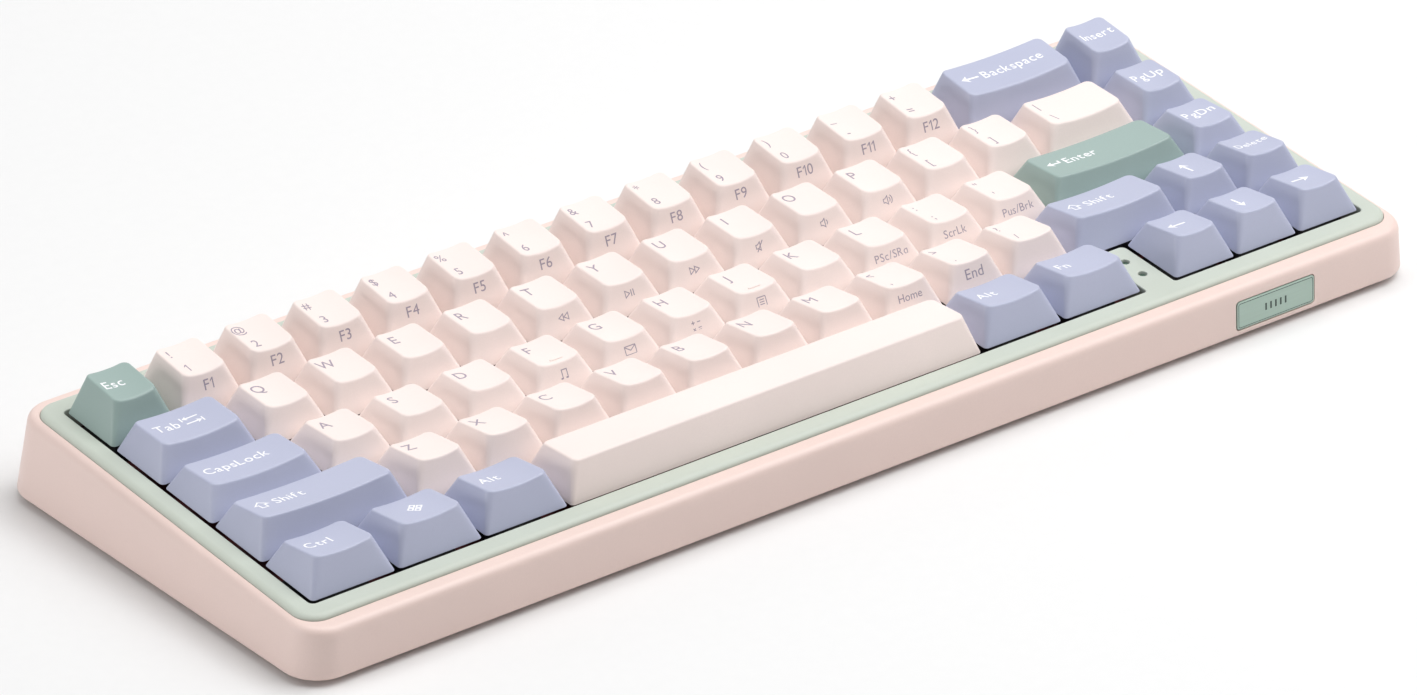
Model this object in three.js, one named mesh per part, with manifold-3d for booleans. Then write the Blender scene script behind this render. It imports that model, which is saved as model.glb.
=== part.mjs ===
// A 65 % mechanical keyboard with its keys, switches, case, feet and port, in millimetres.
// +X is to the typist's right, +Y away from the typist, +Z up, and it stands on Z = 0.
//
// Most of it is drawn in the key frame, which leans back with the keys: x from the left of the key
// grid, y from the front of the grid, z above the plane of the keycap rims. LEAN stands that frame
// in the keyboard's own frame. The feet and the case's underside are drawn level with the table.
import * as THREE from "three";
import { mergeVertices } from "three/addons/utils/BufferGeometryUtils.js";
import Module from "manifold-3d";

const wasm = await Module();
wasm.setup();

// ---------------------------------------------------------------- driving dimensions

const PITCH = 19.05;                 // the standard spacing of full-size keys
const COLUMNS = 16;
const ROW_COUNT = 5;
const GRID = { left: 0, right: COLUMNS * PITCH, front: 0, back: ROW_COUNT * PITCH };

const LEAN_ANGLE = THREE.MathUtils.degToRad(4);
const EDGE_DROP = 14.1;              // the case's bottom edge, below the rim plane at y = 0
const PAD_PROUD = 1.5;               // how far the rubber pads stand below the bottom edge
const FOOTPRINT_CENTRE = 48.59;      // from the front of the grid back to the middle of the footprint

const GAP = 0.3;                     // between pieces that touch or nearly touch

const CASE_RIM = -1.0;               // heights in the key frame
const CASE_ROLL_END = -3.5;
const BEZEL_TOP = 0.2;
const BEZEL_ROLL_END = -1.1;
const BEZEL_BOTTOM = -5.6;
const PLATE_TOP = -6.1;
const PLATE_BOTTOM = -7.3;
const LEDGE_TOP = PLATE_BOTTOM - GAP;
const LEDGE_BOTTOM = LEDGE_TOP - 1.4;
const BOARD_TOP = PLATE_TOP - 5;     // a switch's pins meet the board 5 mm below the plate's face
const BOARD_BOTTOM = BOARD_TOP - 1.2;

const CASE_MARGIN = { side: 7.08, front: 9.86, back: 8.87 };   // outer wall outside the grid, at z = 0
const CASE_CORNER = 7.62;
const CASE_DRAFT = Math.tan(THREE.MathUtils.degToRad(7));
const CASE_FLOOR = 1.4;
const CASE_CHAMFER = 1;
const ROLL_WIDTH = 2.1;
const SEAT_MARGIN = { side: 5.4, front: 5.8, back: 5.8 };      // inner wall that the bezel drops into
const SEAT_CORNER = 5.8;
const LEDGE_REACH = 3;
const BEZEL_ROLL = 1.8;
const OPENING_MARGIN = 0.45;
const OPENING_CORNER = 1.4;

const TRAVEL = 4;
const CAP_INSET = 0.5;               // half of the gap between two keycaps
const CAP_CORNER = 0.7;
const CAP_TOP_CORNER = 1.6;
const CAP_TOP_INSET = { side: 3.37, front: 4.11, back: 1.72 };
const CAP_WALL = 1.3;
const CAP_ROOF = 1.3;
const DISH = 0.65;
const STEM = 4.4;
const STEM_END = -3;

// The heights of a keycap's rim, and of its top at the front and back edges. Row 1 is the row of numbers.
// The space bar's skirt is a little longer than the other caps', and its top is wider and flatter.
const PROFILES = {
  row1: { rim: 0, front: 9.24, back: 10.0, inset: CAP_TOP_INSET },
  row2: { rim: 0, front: 7.64, back: 7.34, inset: CAP_TOP_INSET },
  row3: { rim: 0, front: 7.07, back: 5.79, inset: CAP_TOP_INSET },
  row4: { rim: 0, front: 8.56, back: 6.14, inset: CAP_TOP_INSET },
  space: { rim: -0.5, front: 8.65, back: 7.15, inset: { side: 2.9, front: 3.45, back: 2.2 } },
};

const SWITCH = { body: 13.8, flange: 15.4, flangeBottom: -5.8, topWidth: 10.4, topDepth: 9.2, top: 0 };
const STEM_POCKET = STEM + 0.8;
const PLATE_CUTOUT = SWITCH.body + 0.6;
const PLATE_MARGIN = 3;
const BOARD_MARGIN = 1;

// The layout, from the back row to the front row. A key is one unit wide unless its width is given,
// and a number by itself is a gap. The keys of a block are joined into one piece by thin webs.
const ROWS = [
  {
    profile: PROFILES.row1,
    keys: ["esc", "1", "2", "3", "4", "5", "6", "7", "8", "9", "0", "minus", "equals",
      ["backspace", 2], "insert"],
    block: { name: "number_row_keys", first: "1", last: "equals" },
  },
  {
    profile: PROFILES.row2,
    keys: [["tab", 1.5], "q", "w", "e", "r", "t", "y", "u", "i", "o", "p", "left_bracket",
      "right_bracket", ["backslash", 1.5], "page_up"],
    block: { name: "top_letter_row_keys", first: "q", last: "right_bracket" },
  },
  {
    profile: PROFILES.row3,
    keys: [["caps_lock", 1.75], "a", "s", "d", "f", "g", "h", "j", "k", "l", "semicolon", "quote",
      ["enter", 2.25], "page_down"],
  },
  {
    profile: PROFILES.row4,
    keys: [["left_shift", 2.25], "z", "x", "c", "v", "b", "n", "m", "comma", "period", "slash",
      ["right_shift", 1.75], "up", "delete"],
  },
  {
    profile: PROFILES.row4,
    keys: [["left_ctrl", 1.25], ["menu", 1.25], ["left_alt", 1.25], ["space", 6.25],
      ["right_alt", 1.25], ["fn", 1.25], 0.5, "left", "down", "right"],
  },
];
const WEB = { depth: 8, height: 1, bite: 0.8 };

// The bezel's filler block between the Fn key and the arrow keys, with its two indicator holes.
const FILLER = { left: 12.5 * PITCH + 0.5, right: 13 * PITCH - 0.5, back: PITCH - 0.5, corner: 1.5 };
const INDICATOR = { x: 12.75 * PITCH, radius: 1.1, ys: [PITCH / 3, (2 * PITCH) / 3] };

const BADGE = { x: 269.7, z: -8.0, width: 23.6, height: 7.0, thick: 0.8, proud: 0.2, corner: 0.8 };

// In the back wall: the recess a USB-C plug enters, its socket, and the power switch in its slot.
const PORT = { x: 40, z: -15, width: 8.94, height: 3.2, length: 7, shell: 0.4, tongue: 0.7 };
const PLUG_RECESS = { width: 13, height: 7.5 };
const SLIDER = { x: 68.5, z: -15, throw: 3, width: 3, height: 1.8, base: 6, baseHeight: 4.6, baseDepth: 1.6 };
const SLIDER_DISH = { width: 11, height: 5.6, depth: 1.6 };

const BATTERY = { left: 112, right: 188, front: 57, back: 89, bottom: -16.2, top: -12.9 };
const FOAM = { left: 56, right: 249, front: 18, back: 92 };

// On the underside, level with the table: x from the middle, y from the middle of the footprint.
const PAD = { x: 128, y: 49, width: 26, depth: 8, recess: 0.6, gap: 0.15 };
const FOOT = { x: 116, hinge: 37, length: 15, width: 30, thick: 3.2, axisHeight: PAD_PROUD + 1.9, pin: 1.3 };
const FOOT_POCKET = { side: 0.4, front: 0.6, back: 2.4, roof: 5.5, wall: 1.1, bearing: 2.3 };

const COLOURS = {
  blush: 0xf3e3dc,
  mint: 0xd6decf,
  ivory: 0xfbf0ea,
  lilac: 0xb4bad6,
  sage: 0xa9bfb6,
};
const LILAC_KEYS = ["backspace", "insert", "page_up", "page_down", "delete", "tab", "caps_lock", "left_shift",
  "right_shift", "left_ctrl", "menu", "left_alt", "right_alt", "fn", "left", "down", "right", "up"];
const SAGE_KEYS = ["esc", "enter"];

// ---------------------------------------------------------------- geometry helpers

const LEAN = new THREE.Matrix4()
  .makeTranslation(-GRID.right / 2, -FOOTPRINT_CENTRE, PAD_PROUD + EDGE_DROP * Math.cos(LEAN_ANGLE))
  .multiply(new THREE.Matrix4().makeRotationX(LEAN_ANGLE));

const leaned = (geometry) => geometry.applyMatrix4(LEAN);

const grown = (box, by, corner) => ({
  left: box.left - by,
  right: box.right + by,
  front: box.front - by,
  back: box.back + by,
  corner,
});

const withMargin = (margin, corner, by = 0) => ({
  left: GRID.left - margin.side - by,
  right: GRID.right + margin.side + by,
  front: GRID.front - margin.front - by,
  back: GRID.back + margin.back + by,
  corner: corner + by,
});

const level = (z) => ({ at: z, slope: 0 });

// The plane level with the table at a height above the case's bottom edge, seen in the key frame.
const aboveEdge = (height) => ({
  at: height / Math.cos(LEAN_ANGLE) - EDGE_DROP,
  slope: -Math.tan(LEAN_ANGLE),
});

// A ring of points round a rounded rectangle, anticlockwise seen from above, on the plane
// z = at + slope * y. It starts at the left, and its back half mirrors its front half.
// draft moves a point outwards by that much for each millimetre below z = 0. between adds points
// on the front and back edges, at fractions of the width, which sag like a dish.
function ring(box, plane, { steps = 1, draft = 0, between = [], sag = 0 } = {}) {
  const width = box.right - box.left;
  const corners = [
    [box.left + box.corner, box.front + box.corner, 180],
    [box.right - box.corner, box.front + box.corner, 270],
    [box.right - box.corner, box.back - box.corner, 0],
    [box.left + box.corner, box.back - box.corner, 90],
  ];
  const points = [];
  const add = (x, y, nx, ny, drop) => {
    const z = (plane.at + plane.slope * y) / (1 + plane.slope * ny * draft);
    points.push(new THREE.Vector3(x - nx * draft * z, y - ny * draft * z, z - drop));
  };
  corners.forEach(([x, y, start], index) => {
    for (let i = 0; i <= steps; i += 1) {
      const angle = THREE.MathUtils.degToRad(start + (90 * i) / Math.max(steps, 1));
      add(x + box.corner * Math.cos(angle), y + box.corner * Math.sin(angle), Math.cos(angle), Math.sin(angle), 0);
    }
    const fractions = index === 0 ? between : between.toReversed();
    if (index % 2 === 0) {
      for (const t of fractions) {
        const drop = sag * (1 - (2 * t - 1) ** 2);
        add(box.left + t * width, index === 0 ? box.front : box.back, 0, index === 0 ? -1 : 1, drop);
      }
    }
  });
  return points;
}

// A closed solid through rings of equal length, each joined to the next, the ends closed in strips.
// The rings run anticlockwise, and upwards on the outside.
function loft(rings) {
  const count = rings[0].length;
  const index = [];
  for (let r = 0; r + 1 < rings.length; r += 1) {
    for (let i = 0; i < count; i += 1) {
      const a = r * count + i;
      const b = r * count + ((i + 1) % count);
      index.push(a, b, b + count, a, b + count, a + count);
    }
  }
  const top = (rings.length - 1) * count;
  for (let i = 0; i + 1 < count / 2; i += 1) {
    const far = count - 1 - i;
    index.push(far, i + 1, i, far, far - 1, i + 1);
    index.push(top + i, top + i + 1, top + far, top + i + 1, top + far - 1, top + far);
  }
  const geometry = new THREE.BufferGeometry().setFromPoints(rings.flat());
  geometry.setIndex(index);
  return geometry;
}

function toSolid(geometry) {
  const bare = geometry.clone();
  bare.deleteAttribute("normal");
  bare.deleteAttribute("uv");
  const merged = mergeVertices(bare, 1e-4);
  return new wasm.Manifold(new wasm.Mesh({
    numProp: 3,
    vertProperties: new Float32Array(merged.attributes.position.array),
    triVerts: new Uint32Array(merged.index.array),
  }));
}

function toGeometry(solid) {
  const mesh = solid.getMesh();
  const geometry = new THREE.BufferGeometry();
  geometry.setAttribute("position", new THREE.BufferAttribute(mesh.vertProperties, 3));
  geometry.setIndex(new THREE.BufferAttribute(mesh.triVerts, 1));
  return geometry;
}

// The first geometry with the joined ones added, then the cut ones taken away.
function carve(geometry, { joined = [], cut = [] }) {
  let solid = toSolid(geometry);
  for (const piece of joined) solid = solid.add(toSolid(piece));
  for (const piece of cut) solid = solid.subtract(toSolid(piece));
  return toGeometry(solid);
}

const block = (x0, x1, y0, y1, z0, z1) => new THREE.BoxGeometry(x1 - x0, y1 - y0, z1 - z0)
  .translate((x0 + x1) / 2, (y0 + y1) / 2, (z0 + z1) / 2);

const slab = (box, z0, z1, steps = 3) => loft([ring(box, level(z0), { steps }), ring(box, level(z1), { steps })]);

const centred = (width, depth, corner) => ({
  left: -width / 2,
  right: width / 2,
  front: -depth / 2,
  back: depth / 2,
  corner,
});

const rodAlongX = (radius, length) => new THREE.CylinderGeometry(radius, radius, length, 12).rotateZ(Math.PI / 2);

function piece(name, geometry, material, parent, position = [0, 0, 0]) {
  const mesh = new THREE.Mesh(geometry, material);
  mesh.name = name;
  mesh.position.set(...position);
  parent.add(mesh);
  return mesh;
}

const plastic = (name, color, roughness = 0.5) => new THREE.MeshStandardMaterial({
  name, color, roughness, metalness: 0, flatShading: true,
});

// ---------------------------------------------------------------- the key layout

// Every key with its centre and width in the key frame.
function laidOutKeys() {
  const keys = [];
  ROWS.forEach((row, rowIndex) => {
    let left = 0;
    for (const entry of row.keys) {
      const gap = typeof entry === "number";
      const [name, units] = Array.isArray(entry) ? entry : [entry, 1];
      const width = (gap ? entry : units) * PITCH;
      if (!gap) {
        const y = (ROW_COUNT - rowIndex - 0.5) * PITCH;
        const profile = name === "space" ? PROFILES.space : row.profile;
        keys.push({ name, width, row: rowIndex, profile, x: left + width / 2, y });
      }
      left += width;
    }
  });
  return keys;
}

// ---------------------------------------------------------------- keycaps

// The cap's outline at a height, shrunk by a wall, about the middle of the key.
function capOutline(key, height, wall) {
  const { rim: foot, front, back, inset } = key.profile;
  const rim = centred(key.width - 2 * CAP_INSET, PITCH - 2 * CAP_INSET, CAP_CORNER);
  const lean = (by, top) => (by * (height - foot)) / (top - foot) + wall;
  return {
    left: rim.left + lean(inset.side, (front + back) / 2),
    right: rim.right - lean(inset.side, (front + back) / 2),
    front: rim.front + lean(inset.front, front),
    back: rim.back - lean(inset.back, back),
    corner: CAP_CORNER,
  };
}

// A hollow cap with the switch's slider under it, about the middle of the key in the rim plane.
function keycap(key) {
  const { rim: foot, front, back, inset } = key.profile;
  const rim = capOutline(key, foot, 0);
  const top = {
    left: rim.left + inset.side,
    right: rim.right - inset.side,
    front: rim.front + inset.front,
    back: rim.back - inset.back,
    corner: CAP_TOP_CORNER,
  };
  const slope = (back - front) / (top.back - top.front);
  const crown = { at: front - slope * top.front, slope };
  const dished = { between: [0.3, 0.7], sag: key.name === "space" ? 0 : DISH };
  const shell = loft([ring(rim, level(foot), { between: dished.between }), ring(top, crown, dished)]);

  const roof = Math.min(front, back) - CAP_ROOF;
  const hollow = loft([
    ring(capOutline(key, foot, CAP_WALL), level(foot - 1)),
    ring(capOutline(key, foot, CAP_WALL), level(foot)),
    ring(capOutline(key, roof, CAP_WALL), level(roof)),
  ]);
  const half = STEM / 2;
  const stem = block(-half, half, -half, half, STEM_END, roof + CAP_ROOF / 3);
  return toGeometry(toSolid(shell).subtract(toSolid(hollow)).add(toSolid(stem)));
}

// The caps of a block of keys, held together by a web between each two rims.
function keyBlock(keys) {
  const caps = keys.map((key) => keycap(key).translate(key.x, key.y, 0));
  const webs = keys.slice(1).map((key) => {
    const seam = key.x - key.width / 2;
    const reach = CAP_INSET + WEB.bite;
    return block(seam - reach, seam + reach, key.y - WEB.depth / 2, key.y + WEB.depth / 2, 0, WEB.height);
  });
  return carve(caps[0], { joined: [...caps.slice(1), ...webs] });
}

function addKeys(parent) {
  const materials = {
    lilac: plastic("lilac_caps", COLOURS.lilac),
    sage: plastic("sage_caps", COLOURS.sage),
    ivory: plastic("ivory_caps", COLOURS.ivory),
  };
  const tone = (name) => {
    if (SAGE_KEYS.includes(name)) return "sage";
    return LILAC_KEYS.includes(name) ? "lilac" : "ivory";
  };
  const keys = laidOutKeys();
  const joined = new Set();
  ROWS.forEach((row, rowIndex) => {
    if (!row.block) return;
    const inRow = keys.filter((key) => key.row === rowIndex);
    const first = inRow.findIndex((key) => key.name === row.block.first);
    const last = inRow.findIndex((key) => key.name === row.block.last);
    const members = inRow.slice(first, last + 1);
    members.forEach((key) => joined.add(key));
    piece(row.block.name, keyBlock(members), materials.ivory.clone(), parent);
  });
  for (const key of keys.filter((one) => !joined.has(one))) {
    piece(`key_${key.name}`, keycap(key), materials[tone(key.name)].clone(), parent, [key.x, key.y, 0]);
  }
}

// ---------------------------------------------------------------- switches, board and plate

function circuitBoard() {
  const board = slab(grown(GRID, BOARD_MARGIN, 0), BOARD_BOTTOM, BOARD_TOP, 0);
  const square = (size) => centred(size, size, 0);
  const housings = [];
  const pockets = [];
  for (const key of laidOutKeys()) {
    const { body, flange, flangeBottom, topWidth, topDepth, top } = SWITCH;
    const outlines = [
      [square(body), BOARD_TOP - 0.2],
      [square(body), flangeBottom],
      [square(flange), flangeBottom],
      [centred(topWidth, topDepth, 0), top],
    ];
    const rings = outlines.map(([outline, z]) => ring(outline, level(z), { steps: 0 }));
    housings.push(loft(rings).translate(key.x, key.y, 0));
    const half = STEM_POCKET / 2;
    const floor = STEM_END - TRAVEL - 2 * GAP;
    pockets.push(block(-half, half, -half, half, floor, top + 1).translate(key.x, key.y, 0));
  }
  return carve(board, { joined: housings, cut: pockets });
}

function switchPlate() {
  const sheet = slab(grown(GRID, PLATE_MARGIN, 0), PLATE_BOTTOM, PLATE_TOP, 0);
  const half = PLATE_CUTOUT / 2;
  const cutouts = laidOutKeys().map((key) => block(
    key.x - half, key.x + half, key.y - half, key.y + half, PLATE_BOTTOM - 1, PLATE_TOP + 1,
  ));
  return carve(sheet, { cut: cutouts });
}

// ---------------------------------------------------------------- bezel and case

function bezelFrame() {
  const seat = withMargin(SEAT_MARGIN, SEAT_CORNER, -GAP);
  const quarter = [0, 45, 90].map((degrees) => THREE.MathUtils.degToRad(degrees));
  const roll = quarter.map((angle) => ring(
    grown(seat, -BEZEL_ROLL * (1 - Math.cos(angle)), seat.corner - BEZEL_ROLL * (1 - Math.cos(angle))),
    level(BEZEL_ROLL_END + (BEZEL_TOP - BEZEL_ROLL_END) * Math.sin(angle)),
    { steps: 4 },
  ));
  const body = loft([ring(seat, level(BEZEL_BOTTOM), { steps: 4 }), ...roll]);
  const opening = slab(grown(GRID, OPENING_MARGIN, OPENING_CORNER), BEZEL_BOTTOM - 1, BEZEL_TOP + 1, 2);
  const bite = OPENING_MARGIN + 1;
  const filler = slab(
    { ...FILLER, front: -bite },
    BEZEL_BOTTOM,
    BEZEL_TOP,
    2,
  );
  const holes = INDICATOR.ys.map((y) => new THREE.CylinderGeometry(INDICATOR.radius, INDICATOR.radius, 8, 12)
    .rotateX(Math.PI / 2)
    .translate(INDICATOR.x, y, BEZEL_BOTTOM + 3));
  const frame = carve(body, { cut: [opening] });
  return carve(frame, { joined: [filler], cut: holes });
}

// Local z points out of the front wall, local y up along it.
function onFrontWall(x, z) {
  return new THREE.Matrix4()
    .makeTranslation(x, CASE_DRAFT * z - CASE_MARGIN.front, z)
    .multiply(new THREE.Matrix4().makeRotationX(Math.PI / 2 - Math.atan(CASE_DRAFT)));
}

function badgePlate() {
  const outline = centred(BADGE.width, BADGE.height, BADGE.corner);
  return slab(outline, BADGE.proud - BADGE.thick, BADGE.proud, 2).applyMatrix4(onFrontWall(BADGE.x, BADGE.z));
}

function caseShell() {
  const wall = withMargin(CASE_MARGIN, CASE_CORNER);
  const seat = withMargin(SEAT_MARGIN, SEAT_CORNER);
  const ledge = grown(seat, -LEDGE_REACH, SEAT_CORNER - LEDGE_REACH);
  const steps = 4;
  const drafted = { steps, draft: CASE_DRAFT };
  const shoulder = grown(wall, -CASE_DRAFT * CASE_ROLL_END, CASE_CORNER - CASE_DRAFT * CASE_ROLL_END);
  const roll = [45, 90].map((degrees) => {
    const angle = THREE.MathUtils.degToRad(degrees);
    const inset = ROLL_WIDTH * (1 - Math.cos(angle));
    const z = CASE_ROLL_END + (CASE_RIM - CASE_ROLL_END) * Math.sin(angle);
    return ring(grown(shoulder, -inset, shoulder.corner - inset), level(z), { steps });
  });
  return loft([
    ring(grown(wall, -CASE_CHAMFER, CASE_CORNER - CASE_CHAMFER), aboveEdge(0), drafted),
    ring(wall, aboveEdge(CASE_CHAMFER), drafted),
    ring(wall, level(CASE_ROLL_END), drafted),
    ...roll,
    ring(seat, level(CASE_RIM), { steps }),
    ring(seat, level(LEDGE_TOP), { steps }),
    ring(ledge, level(LEDGE_TOP), { steps }),
    ring(ledge, level(LEDGE_BOTTOM), { steps }),
    ring(seat, level(LEDGE_BOTTOM), { steps }),
    ring(seat, aboveEdge(CASE_FLOOR), { steps }),
  ]);
}

// The cuts in the front and back walls, in the key frame.
function wallCuts() {
  const inner = GRID.back + SEAT_MARGIN.back - 1;
  const outer = GRID.back + CASE_MARGIN.back + 6;
  const outerFace = GRID.back + CASE_MARGIN.back - CASE_DRAFT * SLIDER.z;
  const badge = centred(BADGE.width + 2 * GAP, BADGE.height + 2 * GAP, BADGE.corner + GAP);
  const badgeRecess = slab(badge, BADGE.proud - BADGE.thick - GAP, 2, 2);
  const recess = centred(PLUG_RECESS.width, PLUG_RECESS.height, PLUG_RECESS.height / 2 - 1);
  const plugRecess = slab(recess, inner, outer).rotateX(-Math.PI / 2);
  const slotHalf = (SLIDER.width + SLIDER.throw) / 2 + GAP;
  const slotMiddle = SLIDER.x + SLIDER.throw / 2;
  const slotHeight = SLIDER.height / 2 + GAP;
  const slot = block(slotMiddle - slotHalf, slotMiddle + slotHalf, inner, outer,
    SLIDER.z - slotHeight, SLIDER.z + slotHeight);
  const dish = block(slotMiddle - SLIDER_DISH.width / 2, slotMiddle + SLIDER_DISH.width / 2,
    outerFace - SLIDER_DISH.depth, outer, SLIDER.z - SLIDER_DISH.height / 2, SLIDER.z + SLIDER_DISH.height / 2);
  return [
    badgeRecess.applyMatrix4(onFrontWall(BADGE.x, BADGE.z)),
    plugRecess.translate(PORT.x, 0, PORT.z),
    slot,
    dish,
  ];
}

// The pads' recesses and the flip feet's pockets, level with the table.
function undersideCuts() {
  const cuts = [];
  for (const side of [-1, 1]) {
    for (const end of [-1, 1]) {
      const outline = grown(centred(PAD.width, PAD.depth, PAD.depth / 2), GAP, PAD.depth / 2 + GAP);
      cuts.push(slab(outline, 0, PAD_PROUD + PAD.recess + PAD.gap).translate(side * PAD.x, end * PAD.y, 0));
    }
    const half = FOOT.width / 2 + FOOT_POCKET.side;
    cuts.push(block(side * FOOT.x - half, side * FOOT.x + half, FOOT.hinge - FOOT.length - FOOT_POCKET.front,
      FOOT.hinge + FOOT_POCKET.back, 0, FOOT_POCKET.roof));
    cuts.push(rodAlongX(FOOT.pin + GAP, FOOT.width + 2 * FOOT_POCKET.bearing)
      .translate(side * FOOT.x, FOOT.hinge, FOOT.axisHeight));
  }
  return cuts;
}

// The walls inside the case that close the flip feet's pockets.
function footWells() {
  return [-1, 1].map((side) => {
    const half = FOOT.width / 2 + FOOT_POCKET.bearing + FOOT_POCKET.wall;
    return block(side * FOOT.x - half, side * FOOT.x + half,
      FOOT.hinge - FOOT.length - FOOT_POCKET.front - FOOT_POCKET.wall,
      FOOT.hinge + FOOT_POCKET.back + FOOT_POCKET.wall,
      PAD_PROUD + CASE_FLOOR / 2, FOOT_POCKET.roof + FOOT_POCKET.wall);
  });
}

function caseTray() {
  return carve(leaned(caseShell()), {
    joined: footWells(),
    cut: [...wallCuts().map(leaned), ...undersideCuts()],
  });
}

// ---------------------------------------------------------------- feet

function rubberPad() {
  return slab(centred(PAD.width, PAD.depth, PAD.depth / 2), 0, PAD_PROUD + PAD.recess);
}

// A flip foot about its hinge axis, folded: it lies forward of the hinge.
function flipFoot() {
  const half = FOOT.thick / 2;
  const side = new THREE.Shape();
  side.absarc(0, 0, half, -Math.PI / 2, Math.PI / 2);
  side.lineTo(-FOOT.length, half);
  side.lineTo(-FOOT.length, -half + 1);
  side.lineTo(-FOOT.length + 1, -half);
  const leg = new THREE.ExtrudeGeometry(side, { depth: FOOT.width, bevelEnabled: false, curveSegments: 6 })
    .translate(0, 0, -FOOT.width / 2)
    .applyMatrix4(new THREE.Matrix4().makeBasis(
      new THREE.Vector3(0, 1, 0),
      new THREE.Vector3(0, 0, 1),
      new THREE.Vector3(1, 0, 0),
    ));
  return carve(leg, { joined: [rodAlongX(FOOT.pin, FOOT.width + 2 * (FOOT_POCKET.bearing - GAP))] });
}

// ---------------------------------------------------------------- inside and at the back

// The socket's shell with the tongue inside it, open towards the back.
function usbPort() {
  const mouth = GRID.back + SEAT_MARGIN.back - GAP;
  const radius = PORT.height / 2 - 0.2;
  const shell = slab(centred(PORT.width, PORT.height, radius), 0, PORT.length, 3);
  const bore = centred(PORT.width - 2 * PORT.shell, PORT.height - 2 * PORT.shell, radius - PORT.shell);
  const tongue = centred(PORT.width - 2.5, PORT.tongue, 0);
  const solid = carve(shell, { cut: [slab(bore, 1, PORT.length + 1, 3)] });
  return carve(solid, { joined: [slab(tongue, 0.5, PORT.length - 1, 0)] })
    .rotateX(-Math.PI / 2)
    .translate(PORT.x, mouth - PORT.length, PORT.z);
}

function powerSwitch() {
  const back = GRID.back + SEAT_MARGIN.back - GAP;
  const tip = GRID.back + CASE_MARGIN.back - CASE_DRAFT * SLIDER.z - GAP;
  const { x, z, width, height, base, baseHeight, baseDepth } = SLIDER;
  const nub = block(x - width / 2, x + width / 2, back - GAP, tip, z - height / 2, z + height / 2);
  return carve(block(x - base / 2, x + base / 2, back - baseDepth, back, z - baseHeight / 2, z + baseHeight / 2), {
    joined: [nub],
  });
}

const batteryPack = () => block(BATTERY.left, BATTERY.right, BATTERY.front, BATTERY.back, BATTERY.bottom, BATTERY.top);

function caseFoam() {
  const sheet = loft([
    ring({ ...FOAM, corner: 0 }, aboveEdge(CASE_FLOOR + GAP), { steps: 0 }),
    ring({ ...FOAM, corner: 0 }, level(BOARD_BOTTOM - GAP), { steps: 0 }),
  ]);
  const room = 2;
  const window = block(BATTERY.left - room, BATTERY.right + room, BATTERY.front - room, BATTERY.back + room,
    BATTERY.bottom - 10, BOARD_BOTTOM);
  return carve(sheet, { cut: [window] });
}

// ---------------------------------------------------------------- the assembly

const keyboard = new THREE.Group();
const keyFrame = new THREE.Group();
LEAN.decompose(keyFrame.position, keyFrame.quaternion, keyFrame.scale);
keyboard.add(keyFrame);

piece("case_tray", caseTray(), plastic("case_blush", COLOURS.blush), keyboard);
piece("bezel_frame", bezelFrame(), plastic("bezel_mint", COLOURS.mint), keyFrame);
piece("switch_plate", switchPlate(), plastic("plate_coat", 0x2b2a2c, 0.6), keyFrame);
piece("circuit_board", circuitBoard(), plastic("board_black", 0x1d1c1f, 0.6), keyFrame);
piece("case_foam", caseFoam(), plastic("foam_grey", 0x4a4a4c, 0.95), keyFrame);
piece("battery_pack", batteryPack(), plastic("battery_wrap", 0x8e9aa3, 0.4), keyFrame);
piece("usb_c_port", usbPort(), new THREE.MeshStandardMaterial({
  name: "port_steel", color: 0xb9bcc0, roughness: 0.3, metalness: 1, flatShading: true,
}), keyFrame);
piece("badge_plate", badgePlate(), plastic("badge_sage", 0xb0c5b8, 0.4), keyFrame);
piece("power_switch", powerSwitch(), plastic("slider_black", 0x2a2a2c), keyFrame);

for (const [side, sideName] of [[-1, "left"], [1, "right"]]) {
  piece(`flip_foot_${sideName}`, flipFoot(), plastic("foot_mint", COLOURS.mint), keyboard,
    [side * FOOT.x, FOOT.hinge, FOOT.axisHeight]);
  for (const [end, endName] of [[-1, "front"], [1, "back"]]) {
    piece(`rubber_pad_${endName}_${sideName}`, rubberPad(), plastic("pad_rubber", 0x3a3a3c, 0.9), keyboard,
      [side * PAD.x, end * PAD.y, 0]);
  }
}

addKeys(keyFrame);

export default keyboard;
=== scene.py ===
"""The looks of a 65 % mechanical keyboard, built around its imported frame.

Shapes are drawn in millimetres and written in metres, in one of two frames. KEY_FRAME leans back with
the keys: x from the left of the key grid, y from its front, z above the plane of the keycap rims.
TABLE_FRAME is the object's own frame, which stands on z = 0 with its origin under its middle.
"""
from functools import cache
from math import atan, atan2, copysign, cos, pi, radians, sin, tan
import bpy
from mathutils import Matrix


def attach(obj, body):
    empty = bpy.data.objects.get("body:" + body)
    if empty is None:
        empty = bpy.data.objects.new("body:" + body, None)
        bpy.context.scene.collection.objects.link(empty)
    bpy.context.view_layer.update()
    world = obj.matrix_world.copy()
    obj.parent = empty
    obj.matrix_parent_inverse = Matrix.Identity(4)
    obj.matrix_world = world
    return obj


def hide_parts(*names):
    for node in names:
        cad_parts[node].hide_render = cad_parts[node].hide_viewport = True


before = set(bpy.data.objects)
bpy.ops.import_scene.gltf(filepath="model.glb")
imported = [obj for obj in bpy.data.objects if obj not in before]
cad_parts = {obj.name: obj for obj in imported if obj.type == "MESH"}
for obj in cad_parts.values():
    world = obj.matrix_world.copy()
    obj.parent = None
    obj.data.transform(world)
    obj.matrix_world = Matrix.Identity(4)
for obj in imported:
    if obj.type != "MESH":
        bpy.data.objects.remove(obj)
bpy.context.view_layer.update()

from types import SimpleNamespace as Sizes

import bpy
from mathutils import Matrix, Vector
from mathutils.geometry import tessellate_polygon

# ---------------- driving dimensions, in millimetres

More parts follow.
